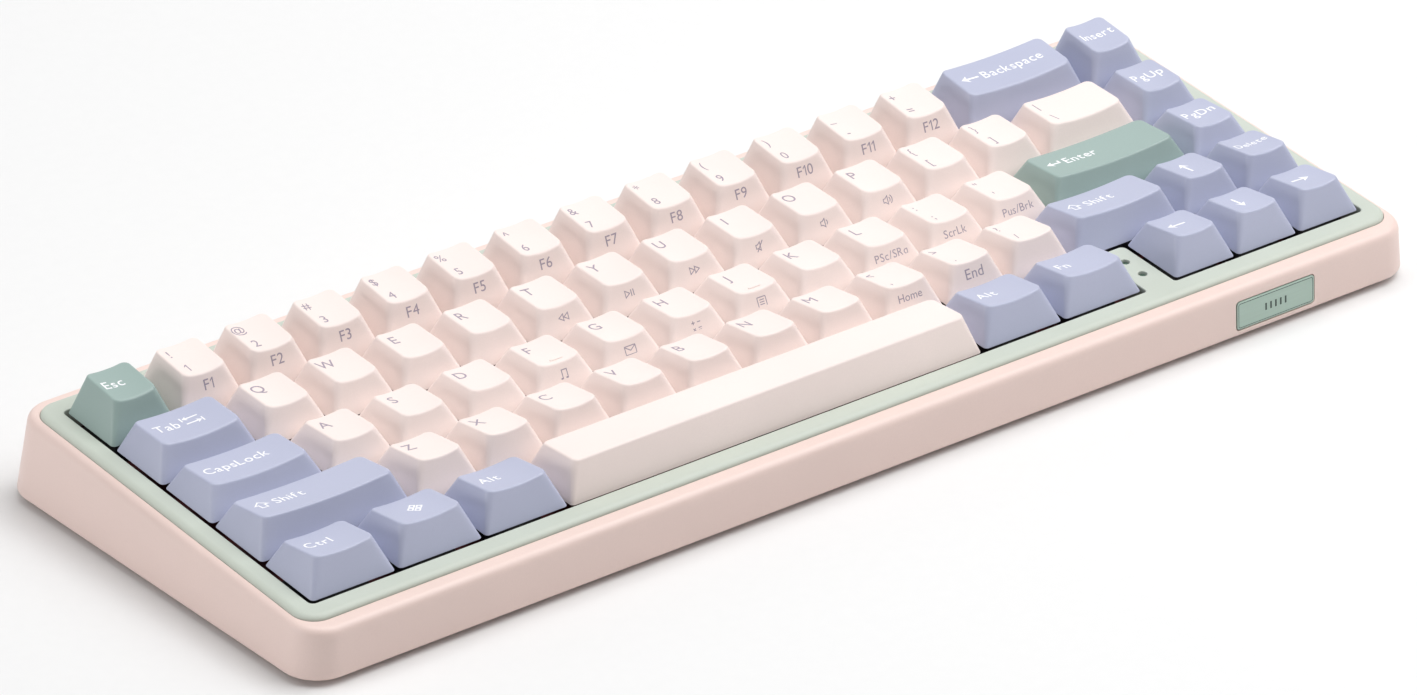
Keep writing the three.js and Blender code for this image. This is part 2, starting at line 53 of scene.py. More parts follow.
MM = 0.001
CREASE = radians(32)                     # steeper edges are shaded sharp
PITCH = 19.05
GRID = (0, 16 * PITCH, 0, 5 * PITCH)          # left, right, front, back
LEAN = radians(4)
EDGE_DROP = 14.1
PAD_PROUD = 1.5
FOOTPRINT_CENTRE = 48.59

TABLE_FRAME = Matrix.Scale(MM, 4)
LEANED = (
    Matrix.Translation((-GRID[1] / 2, -FOOTPRINT_CENTRE, PAD_PROUD + EDGE_DROP * cos(LEAN)))
    @ Matrix.Rotation(LEAN, 4, "X")
)
KEY_FRAME = TABLE_FRAME @ LEANED

# Heights in the key frame.
CASE_RIM = -1.0
CASE_ROLL_END = -3.5
BEZEL_TOP = 0.2
BEZEL_ROLL_END = -1.1
BEZEL_BOTTOM = -5.6
PLATE_TOP = -6.1
PLATE_BOTTOM = -7.3
PLATE_MARGIN = 3
CUTOUT = 14.4
LEDGE_TOP = -7.6
LEDGE_BOTTOM = -9.0
BOARD_TOP = -11.1
BOARD_BOTTOM = -12.3

# The case: its outer wall's margins round the grid at z = 0, and its inner wall's.
WALL_MARGIN = (7.08, 7.08, 9.86, 8.87)
WALL_CORNER = 7.62
WALL_DRAFT = tan(radians(7))
WALL_CHAMFER = 1.0
ROLL_WIDTH = 2.1
CASE_STEPS = 14
SEAT_MARGIN = (5.4, 5.4, 5.8, 5.8)
SEAT_CORNER = 5.8
LEDGE_REACH = 3
FLOOR_THICKNESS = 1.4
GAP = 0.3
BACK_OUTSIDE = GRID[3] + WALL_MARGIN[3]
BACK_INSIDE = GRID[3] + SEAT_MARGIN[3] - GAP
BEZEL_ROLL = 1.8
BEZEL_GAP = 0.12
OPENING_EDGE = 0.3
OPENING_MARGIN = 0.35
OPENING_CORNER = 1.4
OPENING_STEPS = 5

CAP_INSET = 0.5
CAP_CORNER = 1.0
CAP_TOP_CORNER = 1.8
CAP_TOP_INSET = (3.37, 3.37, 4.11, 1.72)
CAP_EDGE = 0.5
CAP_WALL = 1.3
CAP_ROOF = 1.3
CAP_LIP = 0.12
DISH = 0.65
WIDE_DISH = 0.75
SPACE_ARCH = 0.35
HOMING_BAR = Sizes(y=1.3, width=3.6, depth=0.65, height=0.28, root=0.8)
STEM = Sizes(side=4.4, bottom=-3.0, top=0.9, boss=2.45)

# In the back wall, in the front wall, in the filler block and on the underside.
PORT = Sizes(x=40, z=-15, width=8.94, height=3.2, length=7, shell=0.4)
PLUG_RECESS = (13, 7.5)
COLLAR = 0.9                                  # its thickness, and its width beyond the recess
CONTACTS = 8
CONTACT_PITCH = 0.7
SLIDER = Sizes(x=68.5, z=-15, throw=3, width=3, height=1.8)
SLIDER_DISH = Sizes(width=11, height=5.6, depth=1.6)
BADGE = Sizes(x=269.7, z=-8.0, width=23.6, height=7.0, thick=0.8, proud=0.2, corner=0.8)
INDICATOR = Sizes(x=12.75 * PITCH, radius=1.1, ys=(PITCH / 3, 2 * PITCH / 3))
FILLER = Sizes(left=12.5 * PITCH + 0.5, right=13 * PITCH - 0.5, back=PITCH - 0.5, corner=1.5, foot=0.8)
PAD = Sizes(x=128, y=49, width=26, depth=8, height=2.1)
FOOT = Sizes(x=116, hinge=37, length=15, width=30, thick=3.2, axis=3.4, pin=1.3, tip=2.6)
POCKET = Sizes(side=0.4, front=0.6, back=2.4, roof=5.5, wall=1.1, bearing=2.3)
SCREW_RECESS = 3.0
SIDES = ((-1, "left"), (1, "right"))
SCREWS = [(side * x, y) for side in (-1, 1) for x, y in ((146, -30), (146, 12), (62, -46), (62, 42))]

# A row's profile: the heights of its caps' rims and of their tops' front and back edges, and how far
# the tops' sides stand in.
ROW_1 = (0, 9.24, 10.0, CAP_TOP_INSET)
ROW_2 = (0, 7.64, 7.34, CAP_TOP_INSET)
ROW_3 = (0, 7.07, 5.79, CAP_TOP_INSET)
ROW_4 = (0, 8.56, 6.14, CAP_TOP_INSET)
SPACE = (-0.5, 8.65, 7.15, (2.9, 2.9, 3.45, 2.2))

# The layout, from the back row to the front row: each row's profile and its keys. A key is its name,
# its width in units, its legend, its shifted legend and the legend on its front face. A word in angle
# brackets is a drawn symbol, and a number by itself is a gap.

def figure_keys():
    pairs = zip("1234567890", "!@#$%^&*()")
    return [(figure, 1, figure, mark, f"F{i}") for i, (figure, mark) in enumerate(pairs, 1)]


def letter_keys(names, fronts=""):
    fronts = fronts.split() or [""] * len(names)
    return [(name, 1, name.upper(), "", front) for name, front in zip(names, fronts)]


LAYOUT = (
    (ROW_1, (
        ("esc", 1, "Esc"), *figure_keys(), ("minus", 1, "-", "_", "F11"), ("equals", 1, "=", "+", "F12"),
        ("backspace", 2, "<left> Backspace"), ("insert", 1, "Insert"),
    )),
    (ROW_2, (
        ("tab", 1.5, "Tab <tab>"), *letter_keys("qwer"),
        *letter_keys("tyuiop", "<rewind> <play> <forward> <mute> <quiet> <loud>"),
        ("left_bracket", 1, "[", "{"), ("right_bracket", 1, "]", "}"), ("backslash", 1.5, "\\", "|"),
        ("page_up", 1, "PgUp"),
    )),
    (ROW_3, (
        ("caps_lock", 1.75, "CapsLock"), *letter_keys("asd"),
        *letter_keys("fghj", "<note> <mail> <sums> <list>"), *letter_keys("k"),
        *letter_keys("l", "PSc/SRq"), ("semicolon", 1, ";", ":", "ScrLk"),
        ("quote", 1, "'", "\"", "Pus/Brk"), ("enter", 2.25, "<return> Enter"), ("page_down", 1, "PgDn"),
    )),
    (ROW_4, (
        ("left_shift", 2.25, "<shift> Shift"), *letter_keys("zxcvbnm"), ("comma", 1, ",", "<", "Home"),
        ("period", 1, ".", ">", "End"), ("slash", 1, "/", "?"), ("right_shift", 1.75, "<shift> Shift"),
        ("up", 1, "<up>"), ("delete", 1, "Delete"),
    )),
    (ROW_4, (
        ("left_ctrl", 1.25, "Ctrl"), ("menu", 1.25, "<menu>"), ("left_alt", 1.25, "Alt"),
        ("space", 6.25, ""), ("right_alt", 1.25, "Alt"), ("fn", 1.25, "Fn"), 0.5,
        ("left", 1, "<left>"), ("down", 1, "<down>"), ("right", 1, "<right>"),
    )),
)
SAGE_KEYS = {"esc", "enter"}
HOMING_KEYS = {"f", "j"}


# ---------------- camera and light

AZIMUTH, ELEVATION, ROLL = (radians(degrees) for degrees in (-37.911, 28.328, 0.107))
AIM = (-13.87, -12.0, 18.12)
DISTANCE = 2281.3
LENS = 253.15

# Each softbox has its place, its size and its power, in metres and watts.
WORLD_LIGHT = 0.1
SOFTBOXES = {
    "top_light": ((0.35, 0.1, 1.7), (1.4, 1.4), 17.3),
    "key_light": ((0.75, -0.55, 1.15), (1.3, 1.3), 15),
    "left_light": ((-1.5, 0.35, 0.36), (1.0, 0.5), 6.2),
    "high_left_light": ((-1.0, 0.5, 1.3), (1.0, 1.0), 4.7),
    "back_light": ((0.9, 1.5, 0.7), (2.4, 1.0), 6.4),
}


def new_object(name, data):
    thing = bpy.data.objects.new(name, data)
    bpy.context.collection.objects.link(thing)
    return thing


def looking(direction):
    """The turn that points a camera or a light in a direction."""
    return direction.to_track_quat("-Z", "Y").to_matrix().to_4x4()


def make_camera():
    back = Vector((
        sin(AZIMUTH) * cos(ELEVATION),
        -cos(AZIMUTH) * cos(ELEVATION),
        sin(ELEVATION),
    ))
    data = bpy.data.cameras.new("camera")
    data.sensor_width = 36
    data.lens = LENS
    data.clip_start = 0.1
    data.clip_end = 20
    camera = new_object("camera", data)
    place = Matrix.Translation((Vector(AIM) + back * DISTANCE) * MM)
    camera.matrix_world = place @ looking(-back) @ Matrix.Rotation(ROLL, 4, "Z")
    bpy.context.scene.camera = camera


def make_softbox(name, place, size, power):
    data = bpy.data.lights.new(name, "AREA")
    data.shape = "RECTANGLE"
    data.size, data.size_y = size
    data.energy = power
    new_object(name, data).matrix_world = Matrix.Translation(place) @ looking(-Vector(place))


def make_studio():
    world = bpy.data.worlds.new("studio")
    bpy.context.scene.world = world
    world.use_nodes = True
    background = world.node_tree.nodes["Background"]
    background.inputs["Color"].default_value = (1, 1, 1, 1)
    background.inputs["Strength"].default_value = WORLD_LIGHT
    bpy.context.scene.view_settings.view_transform = "Standard"
    for name, softbox in SOFTBOXES.items():
        make_softbox(name, *softbox)


def make_floor(reach=6):
    mesh = bpy.data.meshes.new("floor")
    corners = [(-reach, -reach, 0), (reach, -reach, 0), (reach, reach, 0), (-reach, reach, 0)]
    mesh.from_pydata(corners, [], [(0, 1, 2, 3)])
    mesh.materials.append(MATERIALS["floor"])
    new_object("floor", mesh)


# ---------------- materials

def srgb(*levels):
    """A colour given in 8-bit sRGB, as linear light and an alpha of 1."""
    shares = [level / 255 for level in levels]
    return *(s / 12.92 if s <= 0.04045 else ((s + 0.055) / 1.055) ** 2.4 for s in shares), 1


def tinted(colour, factor):
    return *(min(1, c * factor) for c in colour[:3]), 1


class Nodes:
    """A short way to write a material's node tree."""

    def __init__(self, name):
        self.material = bpy.data.materials.new(name)
        self.material.use_nodes = True
        self.tree = self.material.node_tree
        self.shader = self.tree.nodes["Principled BSDF"]
        self.place = self.add("TexCoord").outputs["Object"]

    def add(self, kind, inputs=None, **settings):
        node = self.tree.nodes.new("ShaderNode" + kind)
        for key, value in settings.items():
            setattr(node, key, value)
        for key, value in (inputs or {}).items():
            self.set(node, key, value)
        return node

    def set(self, node, key, value):
        if isinstance(value, bpy.types.NodeSocket):
            self.tree.links.new(value, node.inputs[key])
        else:
            node.inputs[key].default_value = value

    def noise(self, scale, detail=3.0):
        node = self.add("TexNoise", {"Vector": self.place, "Scale": scale, "Detail": detail})
        return node.outputs["Fac"]

    def spread(self, value, low, high, start=0.3, end=0.7):
        return self.add("MapRange", {
            "Value": value, "From Min": start, "From Max": end, "To Min": low, "To Max": high,
        }).outputs["Result"]

    def mix(self, share, first, second):
        return self.add("Mix", {0: share, 6: first, 7: second}, data_type="RGBA").outputs[2]

    def bump(self, height, strength, distance):
        node = self.add("Bump", {"Height": height, "Strength": strength, "Distance": distance})
        return node.outputs["Normal"]

    def finish(self, **inputs):
        for key, value in inputs.items():
            self.set(self.shader, key.replace("_", " "), value)
        return self.material


def plastic(name, colour, roughness=0.5, grain=0.12, grain_scale=2600, mottle=0.02, ior=1.5):
    """Moulded plastic: a fine spark-eroded grain, a faint unevenness of colour, and gloss that varies."""
    nodes = Nodes(name)
    colour = srgb(*colour)
    cloud = nodes.noise(40)
    grains = nodes.noise(grain_scale, detail=2)
    shade = nodes.mix(nodes.spread(cloud, 0, 1), tinted(colour, 1 - mottle), tinted(colour, 1 + mottle))
    speckled = nodes.mix(nodes.spread(grains, 0, 0.5), shade, tinted(colour, 1 - 2 * mottle))
    return nodes.finish(
        Base_Color=speckled,
        Roughness=nodes.spread(cloud, roughness - 0.05, roughness + 0.06),
        Normal=nodes.bump(grains, grain, 0.00004),
        IOR=ior,
    )


def metal(name, colour, roughness=0.3, metallic=1.0, scratch=0.15):
    """Brushed or coated metal: streaks along x, and gloss that follows them."""
    nodes = Nodes(name)
    colour = srgb(*colour)
    stretched = nodes.add("Mapping", {"Vector": nodes.place, "Scale": (60, 2500, 2500)}).outputs[0]
    streaks = nodes.add("TexNoise", {"Vector": stretched, "Scale": 1.0, "Detail": 4}).outputs["Fac"]
    return nodes.finish(
        Base_Color=nodes.mix(streaks, tinted(colour, 0.85), colour),
        Metallic=metallic,
        Roughness=nodes.spread(streaks, roughness - 0.08, roughness + 0.12),
        Normal=nodes.bump(streaks, scratch, 0.00002),
    )


def rubber(name, colour):
    nodes = Nodes(name)
    colour = srgb(*colour)
    return nodes.finish(
        Base_Color=nodes.mix(nodes.noise(220), tinted(colour, 0.8), tinted(colour, 1.2)),
        Roughness=nodes.spread(nodes.noise(90), 0.75, 0.9),
        Normal=nodes.bump(nodes.noise(5200, detail=4), 0.35, 0.00006),
    )


def foam(name, colour):
    """Closed-cell foam: small round cells."""
    nodes = Nodes(name)
    colour = srgb(*colour)
    cells = nodes.add("TexVoronoi", {"Vector": nodes.place, "Scale": 2200}).outputs["Distance"]
    return nodes.finish(
        Base_Color=nodes.mix(cells, tinted(colour, 0.6), colour),
        Roughness=nodes.spread(cells, 0.85, 0.98, 0, 1),
        Normal=nodes.bump(cells, 0.6, 0.0001),
    )


def milky_lens(name):
    nodes = Nodes(name)
    haze = nodes.noise(900)
    return nodes.finish(
        Base_Color=nodes.mix(haze, srgb(58, 84, 72), srgb(98, 124, 110)),
        Roughness=nodes.spread(haze, 0.15, 0.3),
        Transmission_Weight=0.3,
        Normal=nodes.bump(haze, 0.1, 0.00002),
    )


def paper(name):
    nodes = Nodes(name)
    fibres = nodes.noise(300)
    return nodes.finish(
        Base_Color=nodes.mix(fibres, (0.81, 0.81, 0.81, 1), (0.83, 0.83, 0.83, 1)),
        Roughness=0.95,
        Specular_IOR_Level=0.1,
    )


MATERIALS = {
    "case": plastic("case_blush", (237, 213, 205), roughness=0.42, ior=1.56),
    "bezel": plastic("bezel_mint", (198, 205, 194), roughness=0.46),
    "ivory": plastic("ivory_caps", (246, 231, 226), roughness=0.5, grain=0.2, ior=1.48),
    "lilac": plastic("lilac_caps", (183, 187, 210), roughness=0.44, grain=0.2, ior=1.6),
    "sage": plastic("sage_caps", (154, 175, 170), roughness=0.44, grain=0.2, ior=1.6),
    "grey_ink": plastic("grey_legend", (165, 153, 168), roughness=0.5),
    "white_ink": plastic("white_legend", (250, 250, 253), roughness=0.5),
    "plate": metal("plate_coat", (108, 44, 48), roughness=0.5, metallic=0.2),
    "housing": plastic("housing_nylon", (38, 34, 38), roughness=0.4),
    "stem": plastic("stem_rose", (196, 128, 150), roughness=0.35),
    "board": plastic("board_mask", (24, 26, 30), roughness=0.35, grain_scale=900),
    "foam": foam("foam_grey", (74, 74, 78)),
    "battery": metal("battery_wrap", (150, 158, 168), roughness=0.35, metallic=0.7),
    "steel": metal("port_steel", (190, 193, 198), roughness=0.28),
    "tongue": plastic("port_tongue", (24, 24, 26), roughness=0.4),
    "badge": metal("badge_sage", (180, 202, 190), roughness=0.42, metallic=0.15, scratch=0.05),
    "badge_line": plastic("badge_line", (62, 78, 72), roughness=0.4),
    "black": plastic("slider_black", (40, 40, 43), roughness=0.45),
    "pad": rubber("pad_rubber", (62, 62, 66)),
    "screw": metal("screw_black", (60, 60, 64), roughness=0.3, metallic=0.9),
    "lens": milky_lens("indicator_lens"),
    "floor": paper("floor_paper"),
}


# ---------------- mesh helpers
#
# A shape is a list of points in millimetres and a list of faces. A box is its left, right, front and
# back. Angles are in degrees.

def grown(box, by):
    left, right, front, back = box
    return left - by, right + by, front - by, back + by


def round_grid(margin, by=0.0):
    """The key grid's box with a margin at each side."""
    sides = zip(GRID, margin, (-1, 1, -1, 1))
    return grown([edge + sign * width for edge, width, sign in sides], by)


def centred(width, depth):
    return -width / 2, width / 2, -depth / 2, depth / 2


def drawn_in(box, inset):
    """A box with each side moved inwards by its own amount."""
    return tuple(edge + sign * by for edge, by, sign in zip(box, inset, (1, -1, 1, -1)))


def turns(start, end, count):
    return [radians(start + (end - start) * i / count) for i in range(count + 1)]


def arc(radius, start, end, count=6):
    return [(radius * cos(a), radius * sin(a)) for a in turns(start, end, count)]


def outline(box, corner, steps=6, along=1):
    """Flat points round a rounded rectangle, anticlockwise from its left.

    along is the number of stretches in its front and back edges.
    """
    left, right, front, back = box
    corners = (
        (left + corner, front + corner, 180),
        (right - corner, front + corner, 270),
        (right - corner, back - corner, 0),
        (left + corner, back - corner, 90),
    )
    points = []
    for index, (x, y, start) in enumerate(corners):
        points += [(x + dx, y + dy) for dx, dy in arc(corner, start, start + 90, steps)]
        if index % 2 == 0:
            reach = corners[index + 1][0] - x
            points += [(x + reach * i / along, points[-1][1]) for i in range(1, along)]
    return points


def circle(x, y, radius, count=24):
    return [(x + dx, y + dy) for dx, dy in arc(radius, 0, 360, count)[:-1]]


def at_height(flat, z):
    return [(x, y, z) for x, y in flat]


def ring(box, corner, z, steps=6, along=1):
    return at_height(outline(box, corner, steps, along), z)


def bands(start, end, count):
    """The faces between rings of points that follow one another."""
    pairs = [(i, (i + 1) % count) for i in range(count)]
    return [(low + i, low + j, low + count + j, low + count + i)
            for low in range(start, end, count) for i, j in pairs]


def loft(rings):
    """A closed shape through rings, its ends closed in strips.

    The rings run anticlockwise, and upwards on the outside.
    """
    count = len(rings[0])
    points = [point for ring_points in rings for point in ring_points]
    top = (len(rings) - 1) * count
    faces = bands(0, top, count)
    for i in range(count // 2 - 1):
        far = count - 1 - i
        faces.append((far, far - 1, i + 1, i))
        faces.append((top + i, top + i + 1, top + far - 1, top + far))
    return points, faces


def offset(loop, distance):
    """A flat loop moved to its right-hand side, which is outwards when it runs anticlockwise."""
    result = []
    for i, point in enumerate(loop):
        here = Vector(point)
        into = (here - Vector(loop[i - 1])).normalized()
        out = (Vector(loop[(i + 1) % len(loop)]) - here).normalized()
        middle = (into + out).normalized()
        across = Vector((middle.y, -middle.x)) / max(0.4, middle.dot(into))
        result.append(tuple(here + across * distance))
    return result


def rounded_rim(inwards, downwards, top, steps=4):
    """The end of a wall as (distance inwards, height): a quarter of an ellipse, then a short flat."""
    angles = turns(0, 90, steps)
    rim = [(inwards * (1 - cos(a)), top - downwards * (1 - sin(a))) for a in angles]
    return rim + [(inwards * 1.25, top)]


def sheet(loops):
    """A flat shape with holes. Each loop is its points and its wall.

    Its points run anticlockwise outside and clockwise in a hole. A wall is a list of (distance into the
    material, height), upwards. All walls start at one height and end at one, where flat faces join them.
    """
    points, faces, ends = [], [], ([], [])
    for loop, wall in loops:
        count = len(loop)
        start = len(points)
        for inset, z in wall:
            points += at_height(offset(loop, -inset) if inset else loop, z)
        top = start + (len(wall) - 1) * count
        faces += bands(start, top, count)
        ends[0].append(range(start, start + count))
        ends[1].append(range(top, top + count))
    for upwards, loops_there in enumerate(ends):
        order = [i for loop in loops_there for i in loop]
        flat = [[Vector((*points[i][:2], 0)) for i in loop] for loop in loops_there]
        for triangle in tessellate_polygon(flat):
            corners = [order[i] for i in triangle]
            if turning(*(points[i] for i in corners)) < 0:
                corners.reverse()
            faces.append(tuple(corners if upwards else reversed(corners)))
    return points, faces


def turning(a, b, c):
    """Positive where three points run anticlockwise."""
    return (b[0] - a[0]) * (c[1] - a[1]) - (b[1] - a[1]) * (c[0] - a[0])


def slab(box, corner, bottom, top, steps=6):
    return loft([ring(box, corner, bottom, steps), ring(box, corner, top, steps)])


def soft_slab(box, corner, bottom, top, edge=0.3, steps=5):
    """A slab with its top and bottom edges rounded."""
    rim = rounded_rim(edge, edge, top)
    wall = [(inset, bottom + top - z) for inset, z in reversed(rim)] + rim
    return loft([ring(grown(box, -inset), max(corner - inset, 0.02), z, steps) for inset, z in wall])


def turned(wall, count=24):
    """A round shape about the z axis, through a wall of (radius, height), upwards on the outside."""
    points = [point for radius, z in wall for point in at_height(circle(0, 0, radius, count), z)]
    top = len(points) - count
    ends = [tuple(reversed(range(count))), tuple(range(top, top + count))]
    return points, [ends[0], *bands(0, top, count), ends[1]]


class Shell:
    """Closed shapes gathered into one mesh, in millimetres in a frame."""

    def __init__(self, frame_matrix=KEY_FRAME):
        self.frame = frame_matrix
        self.points = []
        self.faces = []
        self.finishes = []

    def add(self, shape, place=None, finish=0):
        start = len(self.points)
        place = self.frame @ (place or Matrix.Identity(4))
        self.points += [place @ Vector(point) for point in shape[0]]
        self.faces += [tuple(start + i for i in face) for face in shape[1]]
        self.finishes += [finish] * len(shape[1])
        return self

    def mesh(self, name, materials=()):
        mesh = bpy.data.meshes.new(name)
        mesh.from_pydata(self.points, [], self.faces)
        for material in materials:
            mesh.materials.append(MATERIALS[material])
        mesh.polygons.foreach_set("material_index", self.finishes)
        shade(mesh)
        return mesh


def shade(mesh):
    mesh.polygons.foreach_set("use_smooth", [True] * len(mesh.polygons))
    mesh.set_sharp_from_angle(angle=CREASE)


def add_piece(name, shell, body, slot, *materials, replaced=None):
    """A mesh that rides on a body and may stand for a CAD node. Its slot is not used."""
    piece = new_object(name, shell.mesh(name, materials))
    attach(piece, body)
    if replaced:
        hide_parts(replaced)
    return piece


def combine(piece, shell, operation):
    """Joins a shell's shapes to a piece, or cuts them out of it. The shapes don't touch each other."""
    tool = new_object("tool", shell.mesh("tool"))
    step = piece.modifiers.new("combine", "BOOLEAN")
    step.object = tool
    step.operation = operation
    step.solver = "EXACT"
    graph = bpy.context.evaluated_depsgraph_get()
    result = bpy.data.meshes.new_from_object(piece.evaluated_get(graph))
    piece.modifiers.clear()
    old = piece.data
    piece.data = result
    bpy.data.meshes.remove(old)
    bpy.data.meshes.remove(tool.data)
    shade(piece.data)


def shifted(x=0.0, y=0.0, z=0.0):
    return Matrix.Translation((x, y, z))


# ---------------- legends
#
# A legend is a flat shape about its own middle, in millimetres, with x along the key and y up it.

FINE = 0.22                       # a line on a front face
LETTER_GAP = 0.16                 # of the capitals' height
WORD_HEIGHT = 2.75
WORD_WEIGHT = 0.006
WORD_SPACE = 1.1
LETTER_HEIGHT = 3.1
FIGURE_HEIGHT = 2.6
FRONT_HEIGHTS = (2.5, 1.9)        # of up to three characters, and of more
FRONT_DROP = 3.2                  # below the top's front edge

# Places on a cap's top, inwards from its left and back edges.
SHIFTED_PLACE = (2.0, 3.1)
FIGURE_PLACE = (2.7, 9.3)
LETTER_PLACE = (2.9, 3.9)
SYMBOL_PLACE = (4.5, 6.3)
MENU_DROP = 6.1
WORD_DROP = 5.9
WORD_MARGINS = (1.1, 1.9)         # on a one-unit key, and on a wider one


@cache
def font_outline(character, weight):
    """A letter of the built-in font as a flat shape, in the font's own units."""
    curve = bpy.data.curves.new("letter", "FONT")
    curve.body = character
    curve.resolution_u = 4
    curve.offset = weight
    thing = new_object("letter", curve)
    graph = bpy.context.evaluated_depsgraph_get()
    mesh = bpy.data.meshes.new_from_object(thing.evaluated_get(graph))
    points = [(v.co.x, v.co.y) for v in mesh.vertices]
    faces = [tuple(p.vertices) for p in mesh.polygons]
    bpy.data.objects.remove(thing)
    bpy.data.curves.remove(curve)
    bpy.data.meshes.remove(mesh)
    return face_up(points, faces)


def figure_one(width):
    """A figure 1 with a flag, one unit high."""
    half = width / 2
    flag = [(-half * 0.6, 1), (-0.27, 0.77), (-0.27, 0.77 - width * 1.2), (-half, 1 - width * 1.4)]
    return solid([(-half, 0), (half, 0), (half, 1), *flag])


def letter(character, height, weight):
    """A character in a size that gives capitals a height, their middle at y = 0."""
    if character == "1":
        points, faces = figure_one(0.12 + 2 * weight)
        capital = 1
    else:
        points, faces = font_outline(character, weight)
        capital = max(y for _, y in font_outline("H", weight)[0])
    return [(x * height / capital, (y / capital - 0.5) * height) for x, y in points], faces


def letters(text, height, weight=0.0):
    return in_a_row([letter(character, height, weight) for character in text], LETTER_GAP * height)


def stroke(path, width=FINE, closed=False):
    """A line of even width along a flat path."""
    count = len(path)
    if closed:
        right, left = (offset(path, side * width / 2) for side in (1, -1))
    else:
        before = Vector(path[0]) * 2 - Vector(path[1])
        after = Vector(path[-1]) * 2 - Vector(path[-2])
        right, left = (offset([before, *path, after], side * width / 2)[1:-1] for side in (1, -1))
    pairs = [(i, (i + 1) % count) for i in range(count if closed else count - 1)]
    return face_up(right + left, [(i, j, count + j, count + i) for i, j in pairs])


def bar(x, half, width=FINE):
    return stroke([(x, -half), (x, half)], width)


def solid(path):
    return face_up(list(path), [tuple(range(len(path)))])


def face_up(points, faces):
    """A flat shape whose faces all run one way, turned over if they run clockwise."""
    fans = [(points[face[0]], points[a], points[b]) for face in faces for a, b in zip(face[1:], face[2:])]
    return points, faces if sum(turning(*fan) for fan in fans) > 0 else [face[::-1] for face in faces]


def together(*shapes):
    points, faces = [], []
    for shape_points, shape_faces in shapes:
        start = len(points)
        points += shape_points
        faces += [tuple(start + i for i in face) for face in shape_faces]
    return points, faces


def moved(shape, dx=0.0, dy=0.0, turn=0):
    c, s = cos(radians(turn)), sin(radians(turn))
    return [(dx + c * x - s * y, dy + s * x + c * y) for x, y in shape[0]], shape[1]


def in_a_row(shapes, gap):
    """Flat shapes side by side, from x = 0 rightwards."""
    parts = []
    x = 0.0
    for shape in shapes:
        low, high = span(shape)
        parts.append(moved(shape, x - low))
        x += high - low + gap
    return together(*parts)


def span(shape):
    xs = [x for x, _ in shape[0]]
    return min(xs), max(xs)


def arrow(length=5.2, head=2.1, half=1.3, width=0.55):
    """A barbed arrow that points left."""
    tip = -length / 2
    heel = tip + head * 0.75
    barb = [(tip, 0), (tip + head, -half), (heel, 0), (tip + head, half)]
    return together(stroke([(heel - 0.1, 0), (length / 2, 0)], width), solid(barb))


def tab_arrows():
    half = together(arrow(4.2, 1.3, 0.8, 0.42), bar(-2.35, 0.85, 0.36))
    return together(moved(half, dy=1.05), moved(half, dy=-1.05, turn=180))


def return_arrow():
    return together(arrow(4.2, 1.9, 1.15, 0.5), stroke([(1.85, 0), (1.85, 1.2)], 0.5))


def shift_arrow():
    house = [(-0.8, -1.5), (0.8, -1.5), (0.8, 0.1), (1.7, 0.1), (0, 1.75), (-1.7, 0.1), (-0.8, 0.1)]
    return stroke(house, 0.34, closed=True)


def menu_mark():
    """Four squares on their points."""
    square = stroke([(-0.75, 0), (0, -0.75), (0.75, 0), (0, 0.75)], 0.36, closed=True)
    return together(*(moved(square, 1.15 * x, 1.15 * y) for x, y in ((-1, 0), (1, 0), (0, -1), (0, 1))))


def chevron(x, half=0.8, depth=1.25):
    """An outlined triangle that points right."""
    return stroke([(x, -half), (x + depth, 0), (x, half)], closed=True)


def play_pause():
    return together(chevron(-1.15), bar(0.55, 0.8, 0.24), bar(1.2, 0.8, 0.24))


def speaker(waves=(), crossed=False):
    horn = [(-1.2, -0.45), (-0.7, -0.45), (0, -1.0), (0, 1.0), (-0.7, 0.45), (-1.2, 0.45)]
    parts = [stroke(horn, closed=True)] + [stroke(arc(radius, -50, 50)) for radius in waves]
    if crossed:
        parts.append(stroke([(-1.1, -1.2), (0.9, 1.2)], 0.24))
    return together(*parts)


def note_mark():
    stems = stroke([(-0.5, -1.0), (-0.5, 1.1), (0.9, 1.1), (0.9, -1.0)], 0.24)
    return together(stems, *(solid(circle(x, -1.0, 0.36, 12)) for x in (-0.76, 0.64)))


def envelope():
    flap = stroke([(-1.4, 0.85), (0, -0.1), (1.4, 0.85)])
    return together(stroke(outline(centred(3, 2), 0.1, 1), closed=True), flap)


def sums():
    """Plus, minus, times and equals signs."""
    dash = stroke([(-0.45, 0), (0.45, 0)])
    plus = together(dash, moved(dash, turn=90))
    equals = together(moved(dash, dy=0.25), moved(dash, dy=-0.25))
    by = 0.8
    upper = (moved(plus, -by, by), moved(dash, by, by))
    lower = (moved(plus, -by, -by, 45), moved(equals, by, -by))
    return together(*upper, *lower)


def list_mark():
    lines = [stroke([(-0.65, y), (0.65, y)]) for y in (-0.55, 0, 0.55)]
    return together(stroke(outline(centred(2.4, 2.4), 0.1, 1), closed=True), *lines)


SYMBOLS = {
    "<left>": arrow,
    "<right>": lambda: moved(arrow(), turn=180),
    "<up>": lambda: moved(arrow(), turn=-90),
    "<down>": lambda: moved(arrow(), turn=90),
    "<tab>": tab_arrows,
    "<return>": return_arrow,
    "<shift>": shift_arrow,
    "<menu>": menu_mark,
    "<rewind>": lambda: moved(together(chevron(-1.3), chevron(0.1)), turn=180),
    "<forward>": lambda: together(chevron(-1.3), chevron(0.1)),
    "<play>": play_pause,
    "<mute>": lambda: speaker(crossed=True),
    "<quiet>": lambda: speaker(waves=(0.7,)),
    "<loud>": lambda: speaker(waves=(0.7, 1.3)),
    "<note>": note_mark,
    "<mail>": envelope,
    "<sums>": sums,
    "<list>": list_mark,
}


